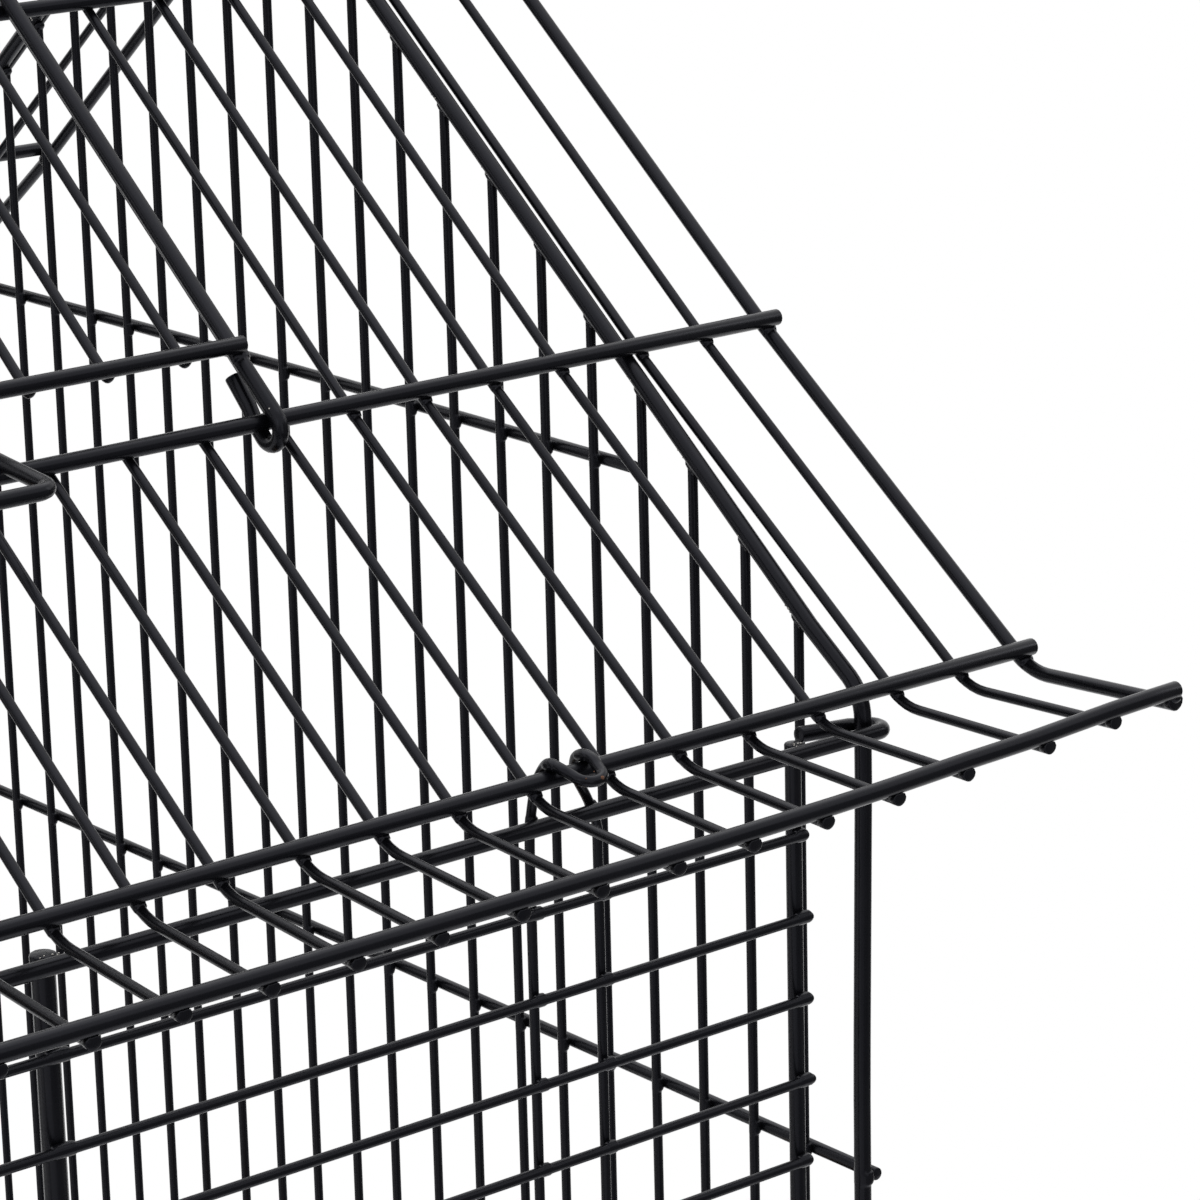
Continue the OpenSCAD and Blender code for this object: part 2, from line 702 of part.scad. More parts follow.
grate_r = 2;
grate_ease = 4;
grate_end = 3;
grate_pitch = 15;
grate_x = out_w - sheet - grate_ease;
grate_z = ledge_z + sheet + grate_r + tray_gap;
cross_in = 2.6;
rear_cross_in = 2.4;
grate_wire_in = 2;
front_strip = 1.5;
strip_gap = 3.5;
pull_half = 30;
pull_out = 8;
pull_up = 9;
module grate_frame() color(steel) {
  y1 = -out_d + grate_end;
  y2 = out_d - sheet - grate_end;
  inner = grate_x - grate_r - touch;
  strip_h = base_top - front_wall - strip_gap - grate_z;
  both_x() rod([grate_x, y1, grate_z], [grate_x, y2, grate_z], grate_r);
  for (y = [y1 + cross_in, y2 - rear_cross_in]) rod([-inner, y, grate_z], [inner, y, grate_z], grate_r);
  translate([-out_w + sheet + tray_ease, -out_d, grate_z - grate_r])
    cube([2 * (out_w - sheet - tray_ease), front_strip, strip_h + grate_r]);
  translate([-pull_half, -out_d - pull_out, grate_z + pull_up])
    cube([2 * pull_half, pull_out - touch, front_strip]);
}
module grate_wires() color(steel) {
  n = round(2 * grate_x / grate_pitch);
  z = grate_z + grate_r + rt + touch;
  for (k = [1 : n - 1]) {
    x = -grate_x + k * 2 * grate_x / n;
    rod([x, -out_d + cross_in, z], [x, out_d - sheet - grate_end - grate_wire_in, z], rt);
  }
}

// Stand
module tube_section(w, wall) difference() {
  square([w, w], center = true);
  square([w - 2 * wall, w - 2 * wall], center = true);
}
bolt_heights = [shelf_height, stand_height - half_tube];
bolt_reach = 32;
screw_r = 3;
screw_head_r = 5.5;
screw_head_h = 3.4;
hex_r = 2;
hex_depth = 2;
plug_l = 12;
plug_w = tube_w - 2 * (tube_wall + touch);
module side_stand() {
  difference() {
    both_y() translate([leg_x, leg_y, leg_bottom])
      linear_extrude(height = stand_height - leg_bottom) tube_section(tube_w, tube_wall);
    both_y() for (z = bolt_heights)
      along_x(leg_x - tube_w, leg_y, z) cylinder(h = 2 * tube_w, r = screw_r + 2 * ease);
  }
  for (z = bolt_heights)
    translate([leg_x, leg_y - half_tube, z]) rotate([90, 0, 0])
      linear_extrude(height = 2 * (leg_y - half_tube)) tube_section(tube_w, tube_wall);
}
module stand_right() color(steel) side_stand();
module stand_left() color(steel) mirror([1, 0, 0]) side_stand();

module cross_bars() color(steel) both_y() for (z = bolt_heights) {
  end = leg_x - half_tube - touch;
  along_x(-end, leg_y, z) linear_extrude(height = 2 * end) tube_section(tube_w, tube_wall);
  both_x() along_x(end - plug_l, leg_y, z) difference() {
    translate([-plug_w / 2, -plug_w / 2, 0]) cube([plug_w, plug_w, plug_l]);
    translate([0, 0, -1]) cylinder(h = plug_l + 2, r = screw_r + touch);
  }
}

module stand_bolts() color(zinc) both_x() both_y() for (z = bolt_heights)
  along_x(leg_x + half_tube + touch, leg_y, z) {
    translate([0, 0, -bolt_reach]) cylinder(h = bolt_reach + touch / 2, r = screw_r);
    difference() {
      cylinder(h = screw_head_h, r = screw_head_r);
      translate([0, 0, screw_head_h - hex_depth]) cylinder(h = 2 * hex_depth, r = hex_r, $fn = 6);
    }
  }

shelf_r = 2.5;
shelf_in = 3;
shelf_end = 4;
shelf_pitch = 20;
shelf_x = leg_x - half_tube - shelf_in;
shelf_z = shelf_height + half_tube + shelf_r + touch;
module shelf_frame() color(steel) {
  y = leg_y - shelf_r - touch;
  for (side = [-1, 1]) rod([-shelf_x, side * leg_y, shelf_z], [shelf_x, side * leg_y, shelf_z], shelf_r);
  for (x = [-shelf_x, 0, shelf_x]) rod([x, -y, shelf_z], [x, y, shelf_z], shelf_r);
}
module shelf_wires() color(steel) {
  z = shelf_z + shelf_r + touch + rt;
  last = leg_y - shelf_end;
  n = round(2 * last / shelf_pitch);
  for (k = [0 : n]) {
    y = -last + k * 2 * last / n;
    rod([-shelf_x - end_past, y, z], [shelf_x + end_past, y, z], rt);
  }
}

// Casters
stem_r = 4;
stem_h = 31;
stem_over = 5;
stem_foot = wheel_d + stem_over;
rivet_r = 7;
rivet_h = 2.4;
socket_h = 20;
fork_over = 5.6;
fork_top = wheel_d + fork_over;
fork_ease = 0.4;
race_r = 13;
race_h = 6.4;
collar_r = 9;
collar_gap = 0.3;
plate_w = 24;
plate_front = 14;
plate_back = 16;
plate_t = 2;
cheek_t = 1.6;
cheek_x = 12.8;
cheek_half = 9;
cheek_foot = 5;
cheek_drop = 8;
axle_past = 0.2;
axle_r = 3;
axle_head_r = 4.6;
tyre_w = 19;
hub_r = 7;
hub_w = 22.2;
rim = 7;
face_depth = 3;
module each_leg() both_x() both_y() translate([leg_x, leg_y, 0]) children();
module caster_stems() color(zinc) each_leg() {
  collar_z = fork_top + race_h + collar_gap;
  translate([0, 0, stem_foot]) cylinder(h = stem_h, r = stem_r);
  translate([0, 0, stem_foot - rivet_h]) cylinder(h = rivet_h, r = rivet_r);
  difference() {
    translate([-plug_w / 2, -plug_w / 2, leg_bottom]) cube([plug_w, plug_w, socket_h]);
    translate([0, 0, leg_bottom - 1]) cylinder(h = socket_h + 2, r = stem_r);
  }
  difference() {
    translate([0, 0, collar_z]) cylinder(h = leg_bottom - collar_z - touch, r = collar_r);
    translate([0, 0, fork_top]) cylinder(h = socket_h, r = stem_r);
  }
}

module caster_fork() {
  axle_z = wheel_d / 2;
  axle_half = cheek_x + cheek_t + axle_past;
  difference() {
    union() {
      translate([0, 0, fork_top]) cylinder(h = race_h, r = race_r);
      translate([-plate_w / 2, -plate_front, fork_top]) cube([plate_w, plate_front + plate_back, plate_t]);
    }
    translate([0, 0, fork_top - 1]) cylinder(h = socket_h, r = stem_r + fork_ease);
  }
  for (side = [-1, 1]) difference() {
    translate([side * cheek_x - cheek_t / 2, 0, 0]) rotate([90, 0, 90]) linear_extrude(height = cheek_t)
      polygon([[-plate_front, fork_top + plate_t], [plate_back, fork_top + plate_t],
        [caster_trail + cheek_half, axle_z], [caster_trail + cheek_foot, axle_z - cheek_drop],
        [caster_trail - cheek_foot, axle_z - cheek_drop], [caster_trail - cheek_half, axle_z]]);
    along_x(-tube_w, caster_trail, axle_z) cylinder(h = 2 * tube_w, r = axle_r);
  }
  along_x(-axle_half, caster_trail, axle_z) {
    cylinder(h = 2 * axle_half, r = axle_r - touch);
    for (h = [-end_past, 2 * axle_half - end_past + touch])
      translate([0, 0, h]) cylinder(h = 2 * end_past - touch, r = axle_head_r);
  }
}
module caster_wheel() along_x(-tyre_w / 2, caster_trail, wheel_d / 2)
  difference() {
    union() {
      cylinder(h = tyre_w, r = wheel_d / 2);
      translate([0, 0, (tyre_w - hub_w) / 2]) cylinder(h = hub_w, r = hub_r);
    }
    translate([0, 0, -tyre_w]) cylinder(h = 3 * tyre_w, r = axle_r + 2 * ease);
    for (z = [-1, tyre_w - face_depth]) translate([0, 0, z]) difference() {
      cylinder(h = face_depth + 1, r = wheel_d / 2 - rim);
      translate([0, 0, -1]) cylinder(h = face_depth + 3, r = hub_r);
    }
  }
module caster_fork_fl() color(zinc) translate([-leg_x, -leg_y, 0]) caster_fork();
module caster_fork_fr() color(zinc) translate([leg_x, -leg_y, 0]) caster_fork();
module caster_fork_bl() color(zinc) translate([-leg_x, leg_y, 0]) caster_fork();
module caster_fork_br() color(zinc) translate([leg_x, leg_y, 0]) caster_fork();
module caster_wheel_fl() color(rubber) translate([-leg_x, -leg_y, 0]) caster_wheel();
module caster_wheel_fr() color(rubber) translate([leg_x, -leg_y, 0]) caster_wheel();
module caster_wheel_bl() color(rubber) translate([-leg_x, leg_y, 0]) caster_wheel();
module caster_wheel_br() color(rubber) translate([leg_x, leg_y, 0]) caster_wheel();

side_frames();
side_bars();
side_rails();
front_frame();
front_wires();
front_clips();
back_frame();
back_wires();
back_clips();
roof_front_rails();
roof_front_wires();
roof_back_rails();
roof_back_wires();
ridge_rings();
hatch_rest();
hatch_frame();
hatch_wires();
door_frame();
door_wires();
door_latch_plate();
door_bolt();
bolt_keeper();
feeder_door_left();
feeder_door_right();
feed_cup_left();
feed_cup_right();
perches();
swing_hanger();
swing_perch();
base_sides();
base_back();
base_front();
tray_pan();
tray_handle();
grate_frame();
grate_wires();
stand_left();
stand_right();
cross_bars();
stand_bolts();
shelf_frame();
shelf_wires();
caster_stems();
caster_fork_fl();
caster_wheel_fl();
caster_fork_fr();
caster_wheel_fr();
caster_fork_bl();
caster_wheel_bl();
caster_fork_br();
caster_wheel_br();
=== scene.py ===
import math
import random

import bpy
from mathutils import Matrix, Quaternion, Vector


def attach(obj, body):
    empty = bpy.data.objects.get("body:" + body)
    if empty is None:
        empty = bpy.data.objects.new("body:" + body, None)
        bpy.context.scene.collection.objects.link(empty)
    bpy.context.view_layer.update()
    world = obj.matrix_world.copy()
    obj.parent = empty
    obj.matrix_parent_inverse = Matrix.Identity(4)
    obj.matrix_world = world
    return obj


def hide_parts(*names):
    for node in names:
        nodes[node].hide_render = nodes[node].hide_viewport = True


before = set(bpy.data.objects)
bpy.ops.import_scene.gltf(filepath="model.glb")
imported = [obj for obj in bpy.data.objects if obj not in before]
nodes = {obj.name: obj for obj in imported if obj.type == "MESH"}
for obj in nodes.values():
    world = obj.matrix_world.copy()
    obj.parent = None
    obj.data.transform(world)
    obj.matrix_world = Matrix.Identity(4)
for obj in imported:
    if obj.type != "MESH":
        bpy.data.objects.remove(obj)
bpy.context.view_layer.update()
random.seed(11)
print("stage: frame loaded")

# The cage's own sizes in millimetres and degrees, and its wire radii, the same as the CAD
cage = {"halfWidth": 278.0, "halfDepth": 192.0, "baseTop": 780.0, "rowGap": 15.64, "rowGaps": 33, "topDrop": 6.4,
        "roofSlope": 38.6, "eaveSlope": 36.0, "eaveBend": 12, "verge": 34.9}
wireRadii = {"thin": 0.9, "thick": 1.5, "doorPost": 2.0, "sideRail": 1.2, "verge": 1.3}

halfW, halfD, rowGap, rowGaps = cage["halfWidth"], cage["halfDepth"], cage["rowGap"], cage["rowGaps"]
thinR, thickR, postR, railR, vergeR = wireRadii.values()
touch = 0.02  # the gap that the CAD leaves between welded rods
rootBody = "cage_and_stand"
wallBottom = cage["baseTop"] + thickR + touch
cornerZ = wallBottom + cage["topDrop"] + rowGaps * rowGap
topRailZ = cornerZ - cage["topDrop"]
slope, lowSlope = math.radians(cage["roofSlope"]), math.radians(cage["eaveSlope"])
railOff = thickR + thinR + touch
midWire = (-halfD + 64.1, cornerZ + 64.1 * math.tan(slope) + 0.7 / math.cos(slope))
ridgeS = (halfD - 64.1 - 3) / math.cos(slope)
roofStep = (2 * halfW - 31.4) / 33


def onRoof(s, o):
    # s up the slope from the middle wire, o out of the roof
    return (midWire[0] + s * math.cos(slope) - o * math.sin(slope),
            midWire[1] + s * math.sin(slope) + o * math.cos(slope))


# Roof profile in the y-z plane: the wires bend level at the eave and carry five rails
eaveR, vergeX = cage["eaveBend"], cage["verge"]
eaveRun = 72.6 / math.cos(lowSlope)
eaveBend = (midWire[0] - 72.6, midWire[1] - eaveRun * math.sin(lowSlope))
eaveStart = (eaveBend[0] + eaveR * math.tan(lowSlope / 2) * math.cos(lowSlope),
             eaveBend[1] + eaveR * math.tan(lowSlope / 2) * math.sin(lowSlope))
eaveCentre = (eaveStart[0] - eaveR * math.sin(lowSlope), eaveStart[1] + eaveR * math.cos(lowSlope))
tipWire = (-halfD - 47, eaveBend[1] - 0.3)
meanSlope = (slope + lowSlope) / 2
midRail = (midWire[0] - railOff * math.sin(meanSlope), midWire[1] + railOff * math.cos(meanSlope))
eaveRail = (eaveCentre[0] + (eaveR - railOff) * math.sin(math.radians(33.5)),
            eaveCentre[1] - (eaveR - railOff) * math.cos(math.radians(33.5)))
tipRail = (tipWire[0] + 2.4, tipWire[1] + railOff + touch)
ridgeRail = onRoof(ridgeS, railOff)
sideRail = onRoof(ridgeS * 0.64, railOff)
railHalf = halfW + vergeX + 1.6
hatchX = halfW - 15.7 - 4 * roofStep - 3.55

# Planes and places of the front and back panels
frameY = -halfD - 3.1
backPlane = frameY + thickR + touch
wireY = backPlane - thinR - touch
postX, clipX1, clipX2, doorX = halfW - 16, halfW - 76.2, halfW - 61.4, halfW - 172.6


def rowZ(i):
    return topRailZ - i * rowGap


def wireX(k):
    return -halfW + 15.7 + k * roofStep


# Paths: lists of points in millimetres
def arcPath(points, bends):
    # straight runs with round bends of the given radii
    out = [Vector(points[0])]
    for i in range(1, len(points) - 1):
        p, a, b = Vector(points[i]), Vector(points[i - 1]), Vector(points[i + 1])
        d1, d2 = (p - a).normalized(), (b - p).normalized()
        angle = d1.angle(d2)
        if angle < 1e-4:
            out.append(p)
            continue
        r = bends[i - 1] if isinstance(bends, (list, tuple)) else bends
        back = r * math.tan(angle / 2)
        axis = d1.cross(d2).normalized()
        centre = p - d1 * back + axis.cross(d1) * r
        start = p - d1 * back - centre
        steps = max(2, int(math.degrees(angle) / 7))
        out += [centre + Quaternion(axis, angle * k / steps) @ start for k in range(steps + 1)]
    return out + [Vector(points[-1])]


def turnPath(centre, u, v, r, start, sweep, steps=16):
    c, u, v = Vector(centre), Vector(u), Vector(v)
    angles = [math.radians(start + sweep * k / steps) for k in range(steps + 1)]
    return [c + u * (r * math.cos(a)) + v * (r * math.sin(a)) for a in angles]


def softPath(points, steps=8):
    # a smooth curve through all the points
    p = [Vector(q) for q in points]
    p = [p[0] * 2 - p[1]] + p + [p[-1] * 2 - p[-2]]
    out = []
    for i in range(1, len(p) - 2):
        for k in range(steps):
            t = k / steps
            a = p[i] * 2 + (p[i + 1] - p[i - 1]) * t
            b = (p[i - 1] * 2 - p[i] * 5 + p[i + 1] * 4 - p[i + 2]) * t * t
            c = (p[i] * 3 - p[i - 1] - p[i + 1] * 3 + p[i + 2]) * t ** 3
            out.append((a + b + c) * 0.5)
    return out + [p[-2]]


def straight(p, q, sag=0.16, parts=6):
    # a drawn wire is never dead straight: it bows by up to sag to one side
    p, q = Vector(p), Vector(q)
    side = Vector([random.uniform(-1, 1) for _ in range(3)]) * sag
    side -= (q - p).normalized() * side.dot((q - p).normalized())
    return [p.lerp(q, k / parts) + side * math.sin(math.pi * k / parts) for k in range(parts + 1)]


def mirrored(points, x=1, y=1):
    return [Vector((p[0] * x, p[1] * y, p[2])) for p in points]


ballVerts = [(0, 0, -1)] + [
    (math.cos(a) * math.cos(e), math.sin(a) * math.cos(e), math.sin(e))
    for e in (-0.95, -0.45, 0.0, 0.45, 0.95) for a in [k * math.pi / 6 for k in range(12)]
] + [(0, 0, 1)]
ballFaces = [(0, 1 + (k + 1) % 12, 1 + k) for k in range(12)]
ballFaces += [(1 + 12 * r + k, 1 + 12 * r + (k + 1) % 12, 13 + 12 * r + (k + 1) % 12, 13 + 12 * r + k)
              for r in range(4) for k in range(12)]
ballFaces += [(61, 49 + k, 49 + (k + 1) % 12) for k in range(12)]


# Where a rod is welded to another, the coating fills the corners between them
def weld(place, toward, along, other, web=0.6):
    return Vector(place), Vector(toward).normalized(), Vector(along).normalized(), other, web


def webAt(gap, other, web):
    # how far the coating flares sideways and lifts towards the other rod
    u = min(1.0, max(0.0, (other + web - gap) / web))
    return web * (1 - math.sqrt(1 - u * u)), 0.3 * min(1.0, max(0.0, (other - 0.2 - gap) / 0.6))


def weldedPath(pts, joins):
    # the points with their run along the rod, and closer points beside each weld
    runs = [0.0]
    for p, q in zip(pts, pts[1:]):
        runs.append(runs[-1] + (q - p).length)
    marks, found = [], []
    for place, toward, along, other, web in joins:
        best = None
        for i, (p, q) in enumerate(zip(pts, pts[1:])):
            span = q - p
            t = min(1.0, max(0.0, (place - p).dot(span) / max(span.length_squared, 1e-9)))
            gap = (place - p - span * t).length
            if best is None or gap < best[0]:
                best = (gap, runs[i] + span.length * t)
        found.append((best[1], toward, along, other, web))
        steps = (0.0, 0.5 * other, other - 0.15, other + 0.04 * web, other + 0.2 * web, other + 0.5 * web, other + web)
        marks += [best[1] + sign * step for step in steps for sign in (-1, 1) if sign > 0 or step]
    marks = [m for m in marks if runs[0] < m < runs[-1] and min(abs(m - run) for run in runs) > 0.05]
    out = [(p, run) for p, run in zip(pts, runs)]
    for m in marks:
        i = max(k for k in range(len(runs) - 1) if runs[k] <= m)
        t = (m - runs[i]) / (runs[i + 1] - runs[i])
        out.append((pts[i].lerp(pts[i + 1], t), m))
    out.sort(key=lambda item: item[1])
    kept = out[:1]
    for item in out[1:]:
        if item[1] - kept[-1][1] > 0.03:
            kept.append(item)
    return kept, found


# Rounded and cut rod ends: how far in from the tip, and how wide there, in radii
rodEnds = {"round": ((0.05, 0.3), (0.2, 0.58), (0.45, 0.8), (0.75, 0.93), (1.1, 1.0)),
           "cut": ((0.01, 0.84), (0.08, 0.96), (0.2, 1.0))}


class Piece:
    def __init__(self):
        self.verts, self.faces = [], []

    def tube(self, points, r, sides=14, closed=False, ends="round", joins=()):
        path, joins = weldedPath([Vector(p) for p in points], joins)
        if closed:
            rings = [(p, at, 1.0) for p, at in path]
        else:
            lips = rodEnds[ends]
            (p0, at0), (p1, at1) = path[0], path[-1]
            d0, d1 = (path[1][0] - p0).normalized(), (path[-2][0] - p1).normalized()
            inner = [(p, at, 1.0) for p, at in path if at0 + 1.2 * r < at < at1 - 1.2 * r]
            rings = [(p0 + d0 * (a * r), at0 + a * r, scale) for a, scale in lips] + inner
            rings += [(p1 + d1 * (a * r), at1 - a * r, scale) for a, scale in reversed(lips)]
        n, first = len(rings), len(self.verts)
        previous, normal = None, None
        for i, (p, at, scale) in enumerate(rings):
            before = rings[i - 1][0] if i or closed else rings[0][0]
            after = rings[(i + 1) % n][0] if i < n - 1 or closed else rings[-1][0]
            t = (after - before).normalized()
            if normal is None:
                normal = t.orthogonal().normalized()
            else:
                normal = previous.rotation_difference(t) @ normal
                normal = (normal - t * normal.dot(t)).normalized()
            previous, side = t, t.cross(normal)
            near = [(toward, along, webAt(abs(at - place), other, web))
                    for place, toward, along, other, web in joins if abs(at - place) < other + web]
            for k in range(sides):
                angle = 2 * math.pi * k / sides
                out = normal * math.cos(angle) + side * math.sin(angle)
                reach = r * scale
                for toward, along, (flare, lift) in near:
                    facing = out.dot(toward)
                    sideways = flare * abs(out.dot(along)) * max(0.0, 0.5 + 0.6 * facing)
                    reach += scale * (sideways + lift * max(0.0, facing))
                self.verts.append(p + out * reach)
        for i in range(n if closed else n - 1):
            a, b = first + i * sides, first + ((i + 1) % n) * sides
            self.faces += [(a + k, a + (k + 1) % sides, b + (k + 1) % sides, b + k) for k in range(sides)]
        if not closed:
            for end, ring, flip in ((path[0][0], first, True), (path[-1][0], first + (n - 1) * sides, False)):
                c = len(self.verts)
                self.verts.append(end)
                for k in range(sides):
                    f = (ring + k, ring + (k + 1) % sides, c)
                    self.faces.append(f[::-1] if flip else f)
        return self

    def blob(self, centre, a, b, c):
        first = len(self.verts)
        centre, a, b, c = Vector(centre), Vector(a), Vector(b), Vector(c)
        if a.cross(b).dot(c) < 0:
            c = -c
        self.verts += [centre + a * x + b * y + c * z for x, y, z in ballVerts]
        self.faces += [tuple(first + i for i in f) for f in ballFaces]
        return self

    def place(self, name, body, material, *replaced):
        mesh = bpy.data.meshes.new(name)
        mesh.from_pydata([v * 0.001 for v in self.verts], [], self.faces)
        mesh.materials.append(material)
        mesh.polygons.foreach_set("use_smooth", [True] * len(mesh.polygons))
        obj = bpy.data.objects.new(name, mesh)
        bpy.context.scene.collection.objects.link(obj)
        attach(obj, body)
        if replaced:
            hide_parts(*replaced)
        return obj


# Materials: colours in sRGB hex, grain widths and bump depths in millimetres
def hexColor(code, alpha=1.0):
    rgb = [int(code[i:i + 2], 16) / 255 for i in (1, 3, 5)]
    return [c / 12.92 if c <= 0.04045 else ((c + 0.055) / 1.055) ** 2.4 for c in rgb] + [alpha]


def newMaterial(name):
    m = bpy.data.materials.new(name)
    m.use_nodes = True
    return m, m.node_tree, m.node_tree.nodes["Principled BSDF"]


def connect(tree, n, inputs):
    # a key such as in6 is the socket of that number, any other is the socket of that name
    for key, value in inputs.items():
        numbered = key.startswith("in") and key[2:].isdigit()
        socket = n.inputs[int(key[2:]) if numbered else key.replace("_", " ")]
        if isinstance(value, bpy.types.NodeSocket):
            tree.links.new(value, socket)
        else:
            socket.default_value = value


def node(tree, kind, settings=None, **inputs):
    n = tree.nodes.new(kind)
    for key, value in (settings or {}).items():
        setattr(n, key, value)
    connect(tree, n, inputs)
    return n


def grainOf(tree, grainMm, detail=2.0, rough=0.5, drawnOut=None):
    # an uneven pattern with grains of this width, longer along an axis where drawnOut is small
    where = node(tree, "ShaderNodeTexCoord").outputs["Object"]
    if drawnOut:
        where = node(tree, "ShaderNodeMapping", Vector=where, Scale=drawnOut).outputs[0]
    grainsPerMetre = float(round(1000 / grainMm))
    return node(tree, "ShaderNodeTexNoise", Vector=where, Scale=grainsPerMetre, Detail=detail,
                Roughness=rough).outputs["Fac"]


def follow(tree, grain, low, high):
    # a number, or a tone given as hex, that goes from low to high over the middle of the grain
    isTone = isinstance(low, str)
    share = node(tree, "ShaderNodeMapRange", Value=grain, From_Min=0.3, From_Max=0.7,
                 To_Min=0.0 if isTone else low, To_Max=1.0 if isTone else high).outputs[0]
    if not isTone:
        return share
    return node(tree, "ShaderNodeMix", {"data_type": "RGBA"}, in0=share, in6=hexColor(low),
                in7=hexColor(high)).outputs[2]


def setup(tree, shader, bumps=(), **inputs):
    # sets or links the shader's sockets and stacks the bumps in their order
    normal = None
    for height, strength, depthMm in bumps:
        extra = {"Normal": normal} if normal else {}
        normal = node(tree, "ShaderNodeBump", Height=height, Strength=strength, Distance=depthMm * 0.001,
                      **extra).outputs[0]
    if normal:
        inputs["Normal"] = normal
    connect(tree, shader, inputs)


# Powder-coated steel: smooth near-black with a blue cast, a dull sheen and a very soft orange peel
coatLook = {"dark": "#0a0a0d", "light": "#0f0f12", "rough": (0.22, 0.3), "peel": 2.38, "peelDepth": 0.002,
            "cloud": 18.2, "glossPatch": 8.33, "shine": 0.23, "shineTint": "#eceeff"}
# The coat on sheet and tube lies thicker: a little greyer, duller and grainier
sheetLook = {**coatLook, "dark": "#121216", "light": "#18181c", "rough": (0.3, 0.42), "peel": 1.111, "peelDepth": 0.02}


def powderCoat(name, look):
    m, tree, shader = newMaterial(name)
    setup(tree, shader, [(grainOf(tree, look["peel"]), 0.5, look["peelDepth"])],
          Base_Color=follow(tree, grainOf(tree, look["cloud"], 3.0), look["dark"], look["light"]),
          Roughness=follow(tree, grainOf(tree, look["glossPatch"], 3.0), *look["rough"]),
          IOR=1.5, Specular_IOR_Level=look["shine"], Specular_Tint=hexColor(look["shineTint"]))
    return m


coat = powderCoat("powder_coated_wire", coatLook)
sheetCoat = powderCoat("powder_coated_sheet", sheetLook)

# Bare steel: pin-sized pale glints where a weld was trimmed
bareLook = {"light": "#c9c7c2", "dark": "#8f8b84", "grain": 0.3333, "rough": 0.3}
bareSteel, tree, shader = newMaterial("bare_steel")
tone = node(tree, "ShaderNodeMix", {"data_type": "RGBA"}, in0=grainOf(tree, bareLook["grain"]),
            in6=hexColor(bareLook["light"]), in7=hexColor(bareLook["dark"])).outputs[2]
setup(tree, shader, Metallic=1.0, Roughness=bareLook["rough"], Base_Color=tone)

# Rusted steel: dull, rough orange brown where the coating has chipped off a hairpin
rustLook = {"dark": "#3a2a22", "light": "#8a5a3c", "patch": 0.5263, "crust": 0.3846, "crustDepth": 0.03, "rough": 0.8}
rustedSteel, tree, shader = newMaterial("rusted_steel")
tone = node(tree, "ShaderNodeMix", {"data_type": "RGBA"}, in0=grainOf(tree, rustLook["patch"], 3.0),
            in6=hexColor(rustLook["dark"]), in7=hexColor(rustLook["light"])).outputs[2]
setup(tree, shader, [(grainOf(tree, rustLook["crust"], 3.0), 0.5, rustLook["crustDepth"])],
      Base_Color=tone, Roughness=rustLook["rough"])

# Zinc-plated steel: pale grey, faintly clouded, finely brushed along the height
# The brush marks are drawn several times as wide as real ones, or they wouldn't show
zincLook = {"light": "#b4b7ba", "dark": "#9a9ea3", "brush": 1.111, "brushDepth": 0.01, "cloud": 16.7,
            "rough": (0.28, 0.42)}
zinc, tree, shader = newMaterial("zinc_plated_steel")
brushed = grainOf(tree, zincLook["brush"], 2.0, 0.6, (1.0, 1.0, 0.12))
setup(tree, shader, [(brushed, 0.25, zincLook["brushDepth"])], Metallic=1.0,
      Base_Color=follow(tree, grainOf(tree, zincLook["cloud"], 4.0), zincLook["light"], zincLook["dark"]),
      Roughness=follow(tree, brushed, *zincLook["rough"]))

# Moulded nylon of the wheels: black, satin, with a moulding grain drawn coarser than the real 0.1 mm
nylonLook = {"dark": "#17171a", "light": "#222226", "cloud": 11.1, "grain": 0.4167, "grainDepth": 0.02,
             "glossPatch": 5.0, "rough": (0.42, 0.58)}
nylon, tree, shader = newMaterial("moulded_nylon")
setup(tree, shader, [(grainOf(tree, nylonLook["grain"], 1.0), 0.4, nylonLook["grainDepth"])],
      Base_Color=follow(tree, grainOf(tree, nylonLook["cloud"], 3.0), nylonLook["dark"], nylonLook["light"]),
      Roughness=follow(tree, grainOf(tree, nylonLook["glossPatch"]), *nylonLook["rough"]))

# Moulded polypropylene of the cups: black, smooth, slightly waxy, its grain drawn coarser too
cupLook = {"dark": "#131315", "light": "#1d1d20", "cloud": 25.0, "grain": 0.6667, "grainDepth": 0.01,
           "glossPatch": 6.25, "rough": (0.26, 0.36), "wax": 0.1}
cupPlastic, tree, shader = newMaterial("moulded_polypropylene")
setup(tree, shader, [(grainOf(tree, cupLook["grain"], 1.0), 0.3, cupLook["grainDepth"])],
      Base_Color=follow(tree, grainOf(tree, cupLook["cloud"], 3.0), cupLook["dark"], cupLook["light"]),
      Roughness=follow(tree, grainOf(tree, cupLook["glossPatch"]), *cupLook["rough"]), Coat_Weight=cupLook["wax"])

# Turned beech: pale tan, grain along the dowel, small darker flecks
beechLook = {"light": "#c99f6c", "dark": "#a97a48", "fleckTone": "#8a5d33", "grain": 2.38, "grainDepth": 0.12,
             "fleck": 0.7143, "fleckDepth": 0.05, "fleckOver": 0.66, "rough": (0.5, 0.68)}
beech, tree, shader = newMaterial("turned_beech")
grain = grainOf(tree, beechLook["grain"], 4.0, 0.62, (0.035, 1.0, 1.0))
fleck = grainOf(tree, beechLook["fleck"], 2.0, 0.5, (0.08, 1.0, 1.0))
flecked = node(tree, "ShaderNodeMath", {"operation": "GREATER_THAN"}, in0=fleck, in1=beechLook["fleckOver"])
clear = follow(tree, grain, beechLook["light"], beechLook["dark"])
tone = node(tree, "ShaderNodeMix", {"data_type": "RGBA"}, in0=flecked.outputs[0], in6=clear,
            in7=hexColor(beechLook["fleckTone"])).outputs[2]
